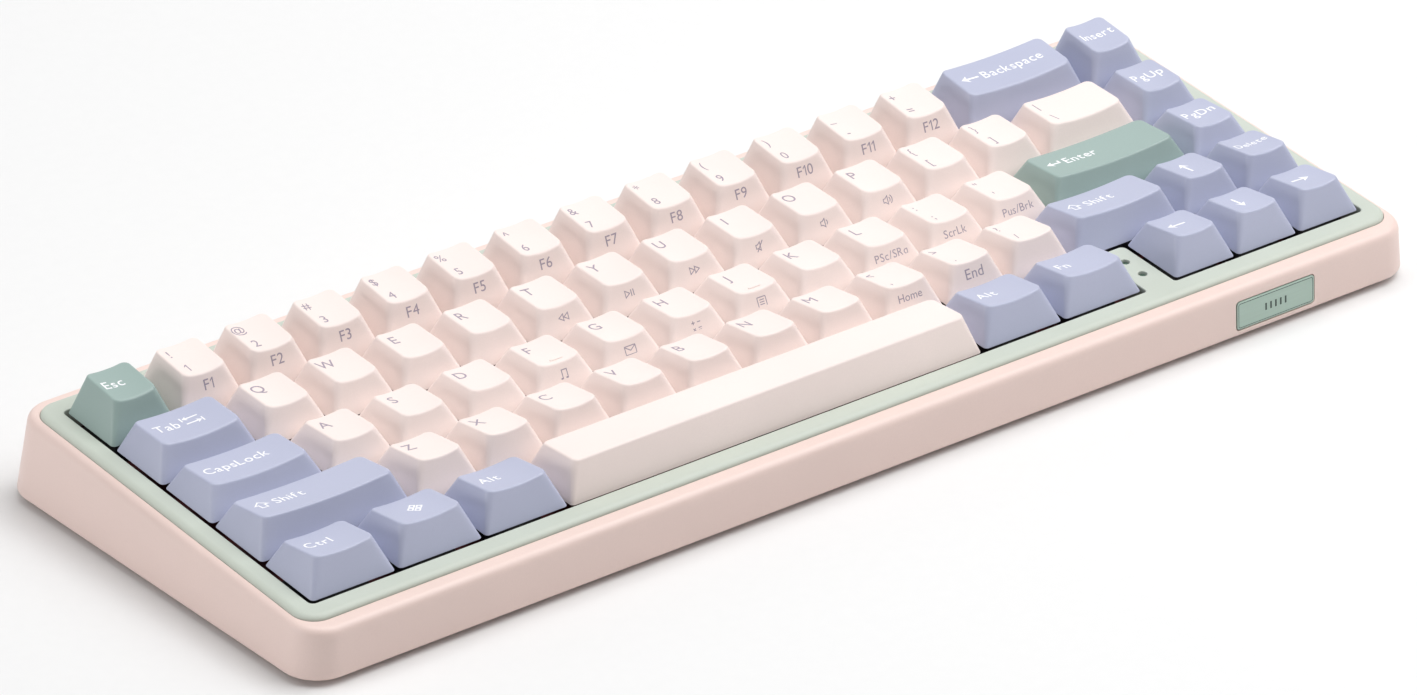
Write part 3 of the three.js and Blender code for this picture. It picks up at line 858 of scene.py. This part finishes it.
def legend_line(text, height, weight):
    """Words and symbols side by side, from x = 0 rightwards, their middle at y = 0."""
    shapes = []
    for word in text.split():
        shapes.append(SYMBOLS[word]() if word in SYMBOLS else letters(word, height, weight))
    return in_a_row(shapes, WORD_SPACE)


def engraved(shape, locate, proud=0.03, deep=0.15):
    """A flat shape as a thin solid in a surface, where locate(x, y, height) puts a point."""
    points, faces = shape
    count = len(points)
    placed = [locate(x, y, height) for height in (proud, -deep) for x, y in points]
    below = [tuple(count + i for i in reversed(face)) for face in faces]
    edges = {(face[i - 1], face[i]) for face in faces for i in range(len(face))}
    sides = [(a, count + a, count + b, b) for a, b in sorted(edges) if (b, a) not in edges]
    return placed, faces + below + sides


# ---------------- keycaps

class Key:
    """One key of the layout, with its middle at (x, y) in the key frame."""

    def __init__(self, row, x, y, units, profile, name, legend, shifted_legend="", front_legend=""):
        self.name = name
        self.row = row
        self.x, self.y = x, y
        self.units = units
        self.legend, self.shifted_legend, self.front_legend = legend, shifted_legend, front_legend
        self.foot, self.front_height, self.back_height, self.inset = SPACE if name == "space" else profile
        self.rim = grown(centred(units * PITCH, PITCH), -CAP_INSET)
        self.top = drawn_in(self.rim, self.inset)
        self.slope = (self.back_height - self.front_height) / (self.top[3] - self.top[2])
        self.dish = DISH if units == 1 else WIDE_DISH
        self.ceiling_height = min(self.front_height, self.back_height) - CAP_ROOF

    @property
    def tone(self):
        """The cap's colour: words and arrows are on lilac keys, apart from the sage ones."""
        if self.name in SAGE_KEYS:
            return "sage"
        return "lilac" if len(self.legend) > 1 else "ivory"

    def crown(self, y):
        """The height of the top at its sides."""
        return self.front_height + self.slope * (y - self.top[2])

    def surface(self, x, y):
        """The top's height: dished from side to side, or the space bar's arched from front to back."""
        if self.name == "space":
            across = (2 * y - self.top[2] - self.top[3]) / (self.top[3] - self.top[2])
            return self.crown(y) + SPACE_ARCH * max(0.0, 1 - across ** 2)
        across = (2 * x - self.top[0] - self.top[1]) / (self.top[1] - self.top[0])
        return self.crown(y) - self.dish * max(0.0, 1 - across ** 2)

    def onto_top(self, point):
        return Vector((point.x, point.y, self.surface(point.x, point.y)))


def laid_out_keys():
    keys = []
    for index, (profile, entries) in enumerate(LAYOUT):
        left = 0.0
        y = GRID[3] - (index + 0.5) * PITCH
        for entry in entries:
            if isinstance(entry, float):
                left += entry * PITCH
                continue
            name, units, *legends = entry
            keys.append(Key(index, left + units * PITCH / 2, y, units, profile, name, *legends))
            left += units * PITCH
    return keys


def cap_shape(key, steps=5):
    """A hollow cap: its roof and walls inside, its rim, its sides, the rounded edge and the dished top."""
    along = 12 if key.units <= 2.25 else 2
    base = outline(key.rim, CAP_CORNER, steps, along)
    crest = outline(key.top, CAP_TOP_CORNER, steps, along)
    inner = outline(grown(key.top, -CAP_EDGE), CAP_TOP_CORNER - CAP_EDGE, steps, along)
    paths = []
    for (bx, by), (cx, cy), (ix, iy) in zip(base, crest, inner):
        foot = Vector((bx, by, key.foot))
        reach = Vector((cx, cy, key.crown(cy))) - foot
        share = 1.0
        for _ in range(3):
            at = foot + reach * share
            share = (key.surface(at.x, at.y) - key.foot) / reach.z
        edge = foot + reach * share
        down = -reach.normalized() * CAP_EDGE
        inwards = Vector((ix - cx, iy - cy, 0))
        start = edge + down
        end = key.onto_top(edge + inwards)
        curve = [start * (1 - t) ** 2 + edge * 2 * t * (1 - t) + end * t ** 2 for t in (0.2, 0.4, 0.6, 0.8)]
        paths.append([edge + down * 1.5, start, *curve, end, key.onto_top(edge + inwards * 1.4)])
    edge_rings = [[tuple(point) for point in points] for points in zip(*paths)]
    roof = key.ceiling_height
    middle = (key.front_height + key.back_height) / 2
    ceiling = drawn_in(key.rim, [by * roof / middle + CAP_WALL for by in key.inset])
    rings = [
        ring(ceiling, CAP_CORNER, roof, steps, along),
        ring(grown(key.rim, -CAP_WALL), CAP_CORNER, key.foot, steps, along),
        ring(grown(key.rim, -CAP_LIP), CAP_CORNER, key.foot, steps, along),
        at_height(base, key.foot + CAP_LIP),
        *edge_rings,
    ]
    return loft(rings + (arched_rings(key, edge_rings[-1]) if key.name == "space" else []))


def arched_rings(key, last, count=4, draw=3):
    """Rings that carry the space bar's arch from its edge towards its middle line."""
    middle = (key.top[2] + key.top[3]) / 2
    rings = []
    for share in (i / (count + 1) for i in range(1, count + 1)):
        points = []
        for x, y, _ in last:
            x -= copysign(min(abs(x) / 2, draw) * share, x)
            y += (middle - y) * share
            points.append((x, y, key.surface(x, y)))
        rings.append(points)
    return rings


def homing_bar(key):
    """A low bar near the front of the top, for the finger to find."""
    y = key.top[2] + HOMING_BAR.y
    top = key.surface(0, y) + HOMING_BAR.height
    left, right, front, back = centred(HOMING_BAR.width, HOMING_BAR.depth)
    return soft_slab((left, right, y + front, y + back), 0.3, top - HOMING_BAR.root, top, 0.15)


def top_legends(key):
    """The legends on a cap's top, about the middle of the key."""
    left, right, _, back = key.top

    def placed(shape, place):
        return centred_at(shape, left + place[0], back - place[1])

    if not key.legend:
        return []
    if key.shifted_legend:
        marks = ((key.shifted_legend, SHIFTED_PLACE), (key.legend, FIGURE_PLACE))
        return [placed(letters(text, FIGURE_HEIGHT), place) for text, place in marks]
    if len(key.legend) == 1:
        return [placed(letters(key.legend, LETTER_HEIGHT), LETTER_PLACE)]
    if key.name == "menu":
        return [centred_at(menu_mark(), 0, back - MENU_DROP)]
    if key.legend in SYMBOLS:
        return [placed(SYMBOLS[key.legend](), SYMBOL_PLACE)]
    room = right - left - 2 * WORD_MARGINS[0]
    width = span(legend_line(key.legend, WORD_HEIGHT, WORD_WEIGHT))[1]
    line = legend_line(key.legend, WORD_HEIGHT * min(1, room / width), WORD_WEIGHT)
    return [moved(line, left + WORD_MARGINS[key.units > 1], back - WORD_DROP)]


def centred_at(shape, x=0.0, y=0.0):
    low, high = span(shape)
    return moved(shape, x - (low + high) / 2, y)


def front_legend(key):
    text = key.front_legend
    if text in SYMBOLS:
        return centred_at(SYMBOLS[text]())
    return centred_at(letters(text, FRONT_HEIGHTS[len(text) > 3]))


def legends_shape(key):
    """All of a key's legends as thin solids, about the middle of the key."""
    run = key.inset[2]
    tilt = atan2(run, key.front_height)
    middle = key.front_height - FRONT_DROP

    def on_top(x, y, height):
        return x, y, key.surface(x, y) + height

    def on_front(x, y, height):
        z = middle + y * cos(tilt)
        y = key.rim[2] + run * z / key.front_height - height * cos(tilt)
        return x, y, z + height * sin(tilt)

    solids = [engraved(shape, on_top) for shape in top_legends(key)]
    if key.front_legend:
        solids.append(engraved(front_legend(key), on_front))
    return together(*solids) if solids else None


BLOCKS = {0: ("number_row_keys", "1", "equals"), 1: ("top_letter_row_keys", "q", "right_bracket")}


def key_bodies(keys):
    """Each key with the body it rides on and the CAD node it stands for."""
    joined = {}
    for row, (block, first, last) in BLOCKS.items():
        names = [key.name for key in keys if key.row == row]
        for name in names[names.index(first):names.index(last) + 1]:
            joined[name] = block
    return [(key, joined.get(key.name, f"key_{key.name}")) for key in keys]


def make_keys(keys):
    stems = {}
    for key, body in key_bodies(keys):
        place = shifted(key.x, key.y)
        cap = Shell().add(cap_shape(key), place)
        if key.name in HOMING_KEYS:
            cap.add(homing_bar(key), place)
        add_piece(f"cap_{key.name}", cap, body, f"{key.tone}_caps", key.tone, replaced=body)
        legends = legends_shape(key)
        if legends:
            ink = "grey_ink" if key.tone == "ivory" else "white_ink"
            add_piece(f"legend_{key.name}", Shell().add(legends, place), body, None, ink)
        stems.setdefault(body, Shell()).add(stem_shape(key), place)
    for body, shell in stems.items():
        add_piece(f"stem_{body}", shell, body, "board_black", "stem")


def stem_shape(key):
    """The switch's slider under a cap, and the cap's boss on it."""
    slider = soft_slab(centred(STEM.side, STEM.side), 0.5, STEM.bottom, STEM.top, 0.2, 3)
    foot = STEM.top + 0.1
    wall = [(STEM.boss - 0.15, foot), (STEM.boss, foot + 0.2), (STEM.boss, key.ceiling_height - 0.05)]
    return together(slider, turned(wall, 20))


# ---------------- switches, board and plate

def housing_shape():
    """A switch's housing about its middle: body, flange, tapered top, and the well its slider runs in."""
    sections = (                              # width, depth, corner and height
        (13.8, 13.8, 0.4, BOARD_TOP + 0.05),
        (13.8, 13.8, 0.4, -5.8),
        (15.4, 15.4, 0.6, -5.8),
        (15.4, 15.4, 0.6, -5.0),
        (14.6, 14.6, 0.6, -4.9),
        (10.9, 9.7, 0.9, -0.3),
        (10.3, 9.1, 0.8, 0),
        (5.3, 5.3, 0.4, 0),
        (5.2, 5.2, 0.4, -7.6),
    )
    return loft([ring(centred(width, depth), corner, z, 2) for width, depth, corner, z in sections])


def make_switches(keys):
    shell = Shell().add(slab(grown(GRID, 1), 1.5, BOARD_BOTTOM, BOARD_TOP), finish=1)
    housing = housing_shape()
    for key in keys:
        shell.add(housing, shifted(key.x, key.y))
    add_piece("switch_housings", shell, "case", "board_black", "housing", "board", replaced="circuit_board")


def make_plate(keys):
    wall = [(0, PLATE_BOTTOM), (0, PLATE_TOP)]
    loops = [(outline(grown(GRID, PLATE_MARGIN), 2), wall)]
    for key in keys:
        cutout = grown((key.x, key.x, key.y, key.y), CUTOUT / 2)
        loops.append((outline(cutout, 0.3, 2)[::-1], wall))
    shell = Shell().add(sheet(loops))
    add_piece("switch_plate_sheet", shell, "case", "plate_coat", "plate", replaced="switch_plate")


# ---------------- bezel, badge and lenses

def opening_loop():
    """The bezel's opening, clockwise, with the filler block standing into it from the front."""
    front = GRID[2] - OPENING_MARGIN
    loop = outline(grown(GRID, OPENING_MARGIN), OPENING_CORNER, OPENING_STEPS)
    foot, r = FILLER.foot, FILLER.corner
    rise = [(FILLER.left - foot + x, front + foot + y) for x, y in arc(foot, -90, 0)]
    rise += [(FILLER.left + r + x, FILLER.back - r + y) for x, y in arc(r, 180, 90)]
    fall = [(FILLER.left + FILLER.right - x, y) for x, y in reversed(rise)]
    corner_points = OPENING_STEPS + 1
    return (loop[:corner_points] + rise + fall + loop[corner_points:])[::-1]


def make_bezel():
    edge = rounded_rim(BEZEL_ROLL, BEZEL_TOP - BEZEL_ROLL_END, BEZEL_TOP, 9)
    outer = outline(round_grid(SEAT_MARGIN, -BEZEL_GAP), SEAT_CORNER - BEZEL_GAP, CASE_STEPS)
    loops = [
        (outer, [(0, BEZEL_BOTTOM), *edge]),
        (opening_loop(), [(0, BEZEL_BOTTOM), *rounded_rim(OPENING_EDGE, OPENING_EDGE, BEZEL_TOP)]),
    ]
    for y in INDICATOR.ys:
        hole = circle(INDICATOR.x, y, INDICATOR.radius, 32)[::-1]
        loops.append((hole, [(0, BEZEL_BOTTOM), *rounded_rim(0.2, 0.2, BEZEL_TOP, 3)]))
    shell = Shell().add(sheet(loops))
    add_piece("bezel_ring", shell, "case", "bezel_mint", "bezel", replaced="bezel_frame")


def make_lenses():
    """The two light guides in the filler block's holes."""
    shell = Shell()
    radius = INDICATOR.radius - 0.08
    for y in INDICATOR.ys:
        dome = [(radius, -0.55), (radius * 0.8, -0.4), (radius * 0.4, -0.32), (0.02, -0.3)]
        shell.add(turned([(radius, BEZEL_BOTTOM + 0.4), *dome]), shifted(INDICATOR.x, y))
    add_piece("indicator_lenses", shell, "case", None, "lens")


def on_front_wall(x, z):
    """Local z points out of the front wall, local y up along it."""
    at = shifted(x, WALL_DRAFT * z - WALL_MARGIN[2], z)
    return at @ Matrix.Rotation(pi / 2 - atan(WALL_DRAFT), 4, "X")


def make_badge():
    """A plain plate with an engraved border and a row of plain bars."""
    box = centred(BADGE.width, BADGE.height)
    back, face = BADGE.proud - BADGE.thick, BADGE.proud
    place = on_front_wall(BADGE.x, BADGE.z)
    shell = Shell().add(soft_slab(box, BADGE.corner, back, face - 0.05, 0.12, 6), place)
    border = stroke(outline(grown(box, -0.45), BADGE.corner - 0.3, 5), 0.14, closed=True)
    bars = [bar(x, 0.9, 0.5) for x in (-3, -1.5, 0, 1.5, 3)]

    def on_face(x, y, height):
        return x, y, face - 0.05 + height

    for mark in (border, *bars):
        shell.add(engraved(mark, on_face, proud=0.02), place, finish=1)
    add_piece("badge_face", shell, "case", "badge_sage", "badge", "badge_line", replaced="badge_plate")


# ---------------- case

def above_edge(height):
    """The level plane at a height above the case's bottom edge, as its z at y = 0 and its slope."""
    return height / cos(LEAN) - EDGE_DROP, -tan(LEAN)


def wall_ring(box, corner, plane, draft=WALL_DRAFT):
    """The drafted wall's ring in a slanted plane."""
    at, slope = plane
    points = []
    flat = outline(box, corner, CASE_STEPS)
    further = outline(grown(box, 1), corner + 1, CASE_STEPS)
    for (x, y), (out_x, out_y) in zip(flat, further):
        nx, ny = out_x - x, out_y - y
        z = (at + slope * y) / (1 + slope * ny * draft)
        points.append((x - nx * draft * z, y - ny * draft * z, z))
    return points


def case_shape():
    """The tray: its wall outside, the rolled rim, the ledge inside and the floor."""
    wall = round_grid(WALL_MARGIN)
    seat = round_grid(SEAT_MARGIN)
    rings = []
    for angle in turns(0, 90, 4):
        inset = WALL_CHAMFER * (1 - sin(angle))
        height = WALL_CHAMFER * (1 - cos(angle))
        rings.append(wall_ring(grown(wall, -inset), WALL_CORNER - inset, above_edge(height)))
    widening = -WALL_DRAFT * CASE_ROLL_END
    rings.append(wall_ring(wall, WALL_CORNER, (CASE_ROLL_END - 1, 0)))
    for angle in turns(0, 90, 8):
        by = widening - ROLL_WIDTH * (1 - cos(angle))
        z = CASE_ROLL_END + (CASE_RIM - CASE_ROLL_END) * sin(angle)
        rings.append(ring(grown(wall, by), WALL_CORNER + by, z, CASE_STEPS))
    ledge = ((0, LEDGE_TOP), (LEDGE_REACH, LEDGE_TOP), (LEDGE_REACH, LEDGE_BOTTOM), (0, LEDGE_BOTTOM))
    inside = ((0, CASE_RIM), *ledge)
    rings += [ring(grown(seat, -inset), SEAT_CORNER - inset, z, CASE_STEPS) for inset, z in inside]
    rings.append(wall_ring(seat, SEAT_CORNER, above_edge(FLOOR_THICKNESS), draft=0))
    return loft(rings)


def in_back_wall(x, z, y=0):
    """Local z points out of the back wall, local y down."""
    return shifted(x, y, z) @ Matrix.Rotation(-pi / 2, 4, "X")


def wall_cuts():
    """The badge's recess, and the plug's recess, the slider's slot and its dish in the back wall."""
    inner = BACK_INSIDE - 1 + GAP
    outer = BACK_OUTSIDE + 6
    badge = centred(BADGE.width + 2 * GAP, BADGE.height + 2 * GAP)
    recess = slab(badge, BADGE.corner + GAP, BADGE.proud - BADGE.thick - GAP, 2)
    plug = slab(centred(*PLUG_RECESS), PLUG_RECESS[1] / 2 - 1, inner, outer, 10)
    dish_floor = BACK_OUTSIDE - WALL_DRAFT * SLIDER.z - SLIDER_DISH.depth
    dish = slab(centred(SLIDER_DISH.width, SLIDER_DISH.height), 1.2, dish_floor, outer)
    slot = centred(SLIDER.width + SLIDER.throw + 2 * GAP, SLIDER.height + 2 * GAP)
    at_slider = in_back_wall(SLIDER.x + SLIDER.throw / 2, SLIDER.z)
    openings = Shell().add(recess, on_front_wall(BADGE.x, BADGE.z))
    openings.add(plug, in_back_wall(PORT.x, PORT.z))
    openings.add(dish, at_slider)
    return openings, Shell().add(slab(slot, 0.4, inner, outer), at_slider)


def foot_room(side, by, ends, corner, bottom, roof):
    """The space round a flip foot, wider by an amount, and longer by another at both ends."""
    half = FOOT.width / 2 + by
    middle = side * FOOT.x
    front = FOOT.hinge - FOOT.length - POCKET.front - ends
    back = FOOT.hinge + POCKET.back + ends
    return slab((middle - half, middle + half, front, back), corner, bottom, roof)


def underside_cuts():
    """The recesses for pads, screws and flip feet, and the bearings of the flip feet's pins."""
    pockets = Shell(TABLE_FRAME)
    bearings = Shell(TABLE_FRAME)
    for x, y in SCREWS:
        pockets.add(turned([(SCREW_RECESS, 0), (SCREW_RECESS, PAD_PROUD + 0.9)]), shifted(x, y))
    pad = grown(centred(PAD.width, PAD.depth), GAP)
    for side in (-1, 1):
        for end in (-1, 1):
            recess = slab(pad, PAD.depth / 2 + GAP, 0, PAD.height + 0.15, 10)
            pockets.add(recess, shifted(side * PAD.x, end * PAD.y))
        pockets.add(foot_room(side, POCKET.side, 0, 0.8, 0, POCKET.roof))
        pin, turn = along_x(FOOT.pin + GAP, FOOT.width + 2 * POCKET.bearing)
        bearings.add(pin, shifted(side * FOOT.x, FOOT.hinge, FOOT.axis) @ turn)
    return pockets, bearings


def along_x(radius, length):
    """A rod about the x axis, and the turn that lays it there."""
    return turned([(radius, -length / 2), (radius, length / 2)]), Matrix.Rotation(pi / 2, 4, "Y")


def foot_wells():
    """The walls inside the case that close the flip feet's pockets."""
    wells = Shell(TABLE_FRAME)
    wall = POCKET.wall
    bottom = PAD_PROUD + FLOOR_THICKNESS / 2
    for side in (-1, 1):
        wells.add(foot_room(side, POCKET.bearing + wall, wall, 1.2, bottom, POCKET.roof + wall))
    return wells


def make_case():
    shell = Shell().add(case_shape())
    tray = add_piece("case_shell", shell, "case", "case_blush", "case", replaced="case_tray")
    combine(tray, foot_wells(), "UNION")
    for cuts in (*wall_cuts(), *underside_cuts()):
        combine(tray, cuts, "DIFFERENCE")


# ---------------- feet and screws

def make_pads():
    box = centred(PAD.width, PAD.depth)
    for end, end_name in ((-1, "front"), (1, "back")):
        for side, side_name in SIDES:
            shell = Shell(TABLE_FRAME)
            pad = soft_slab(box, PAD.depth / 2, 0, PAD.height, 0.35, 10)
            shell.add(pad, shifted(side * PAD.x, end * PAD.y))
            name = f"{end_name}_{side_name}"
            add_piece(f"pad_{name}", shell, "case", "pad_rubber", "pad", replaced=f"rubber_pad_{name}")


def leg_section(end):
    """A flip foot's side view from its round hinge end: x is along the foot, y up from the hinge axis."""
    half = FOOT.thick / 2
    return arc(half, -90, 90, 12) + [(end, half), (end, -half)]


def tip_section(start, end):
    half = FOOT.thick / 2
    toe = [(end + 0.6, half), (end, half - 0.6), (end, 1 - half), (end + 1, -half)]
    return [(start, -half), (start, half), *toe]


def make_feet():
    half_width = FOOT.width / 2
    sideways = Matrix(((0, 0, 1, 0), (1, 0, 0, 0), (0, 1, 0, 0), (0, 0, 0, 1)))
    edge = [(inset, z + half_width) for inset, z in rounded_rim(0.4, 0.4, 0)]
    wall = [(inset, -z) for inset, z in reversed(edge)] + edge
    split = FOOT.tip - FOOT.length
    for side, name in SIDES:
        body = f"flip_foot_{name}"
        hinge = shifted(side * FOOT.x, FOOT.hinge, FOOT.axis)
        leg = Shell(TABLE_FRAME).add(sheet([(leg_section(split), wall)]), hinge @ sideways)
        rod, turn = along_x(FOOT.pin, FOOT.width + 2 * (POCKET.bearing - GAP))
        leg.add(rod, hinge @ turn)
        add_piece(f"foot_leg_{name}", leg, body, "bezel_mint", "bezel", replaced=body)
        tip = sheet([(tip_section(split - 0.05, -FOOT.length), wall)])
        tip_shell = Shell(TABLE_FRAME).add(tip, hinge @ sideways)
        add_piece(f"foot_tip_{name}", tip_shell, body, "pad_rubber", "pad")


def make_screws():
    """Pan-head screws with a round socket, below the case's floor."""
    shell = Shell(TABLE_FRAME)
    over = Matrix.Rotation(pi, 4, "X")
    head = [(2.5, 0), (2.5, 0.25), (2.2, 0.5), (1.6, 0.6), (1.15, 0.6), (1.1, 0.2), (0.02, 0.15)]
    for x, y in SCREWS:
        shell.add(turned(head), shifted(x, y, PAD_PROUD + 0.85) @ over)
    add_piece("case_screws", shell, "case", None, "screw")


# ---------------- port, power switch and what is inside

def make_port():
    """The socket's steel shell, its tongue and the contacts on it, open towards the back."""
    place = in_back_wall(PORT.x, PORT.z, BACK_INSIDE - PORT.length)
    radius = PORT.height / 2 - 0.2
    box = centred(PORT.width, PORT.height)
    bore = grown(box, -PORT.shell)
    length = PORT.length
    sections = (
        (box, radius, 0),
        (box, radius, length - 0.1),
        (grown(box, -0.1), radius - 0.1, length),
        (grown(bore, 0.1), radius - PORT.shell + 0.1, length),
        (bore, radius - PORT.shell, length - 0.1),
        (bore, radius - PORT.shell, 1),
    )
    shell = Shell().add(loft([ring(*section, 8) for section in sections]), place)
    shell.add(soft_slab(centred(PORT.width - 2.5, 0.7), 0.2, 0.95, length - 1, 0.1), place, finish=1)
    contact = slab(centred(0.32, 0.06), 0.02, 2, length - 1.3, 1)
    for i in range(CONTACTS):
        x = (i - (CONTACTS - 1) / 2) * CONTACT_PITCH
        for y in (-0.36, 0.36):
            shell.add(contact, place @ shifted(x, y))
    add_piece("port_socket", shell, "case", "port_steel", "steel", "tongue", replaced="usb_c_port")


def make_collar():
    """A plate behind the plug's recess that closes the gap round the socket."""
    around = grown(centred(*PLUG_RECESS), COLLAR)
    opening = grown(centred(PORT.width, PORT.height), 0.15)
    wall = [(0, BACK_INSIDE - COLLAR), (0, BACK_INSIDE)]
    loops = [(outline(around, 2), wall), (outline(opening, PORT.height / 2, 10)[::-1], wall)]
    shell = Shell().add(sheet(loops), in_back_wall(PORT.x, PORT.z))
    add_piece("port_collar", shell, "case", "slider_black", "black")


def make_power_switch():
    """The slider's base behind the wall, and its ribbed nub in the slot."""
    base_top = BACK_INSIDE
    tip = BACK_OUTSIDE - WALL_DRAFT * SLIDER.z - GAP
    place = in_back_wall(SLIDER.x, SLIDER.z)
    shell = Shell().add(soft_slab(centred(6, 4.6), 0.5, base_top - 1.6, base_top, 0.2), place)
    nub = soft_slab(centred(SLIDER.width, SLIDER.height), 0.4, base_top - 0.2, tip - 0.25, 0.15)
    shell.add(nub, place)
    rib = soft_slab(centred(0.3, SLIDER.height - 0.4), 0.1, tip - 0.6, tip, 0.08)
    for x in (-0.9, -0.3, 0.3, 0.9):
        shell.add(rib, place @ shifted(x))
    add_piece("power_slider", shell, "power_switch", "slider_black", "black", replaced="power_switch")


def dress_inside():
    """The CAD nodes that are shown as they are."""
    for node, material in (("case_foam", "foam"), ("battery_pack", "battery")):
        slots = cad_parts[node].data.materials
        slots.clear()
        slots.append(MATERIALS[material])


# ---------------- the assembly

KEYS = laid_out_keys()

make_camera()
make_studio()
make_floor()
make_keys(KEYS)
make_case()
make_bezel()
make_lenses()
make_badge()
make_switches(KEYS)
make_plate(KEYS)
make_pads()
make_feet()
make_screws()
make_port()
make_collar()
make_power_switch()
dress_inside()
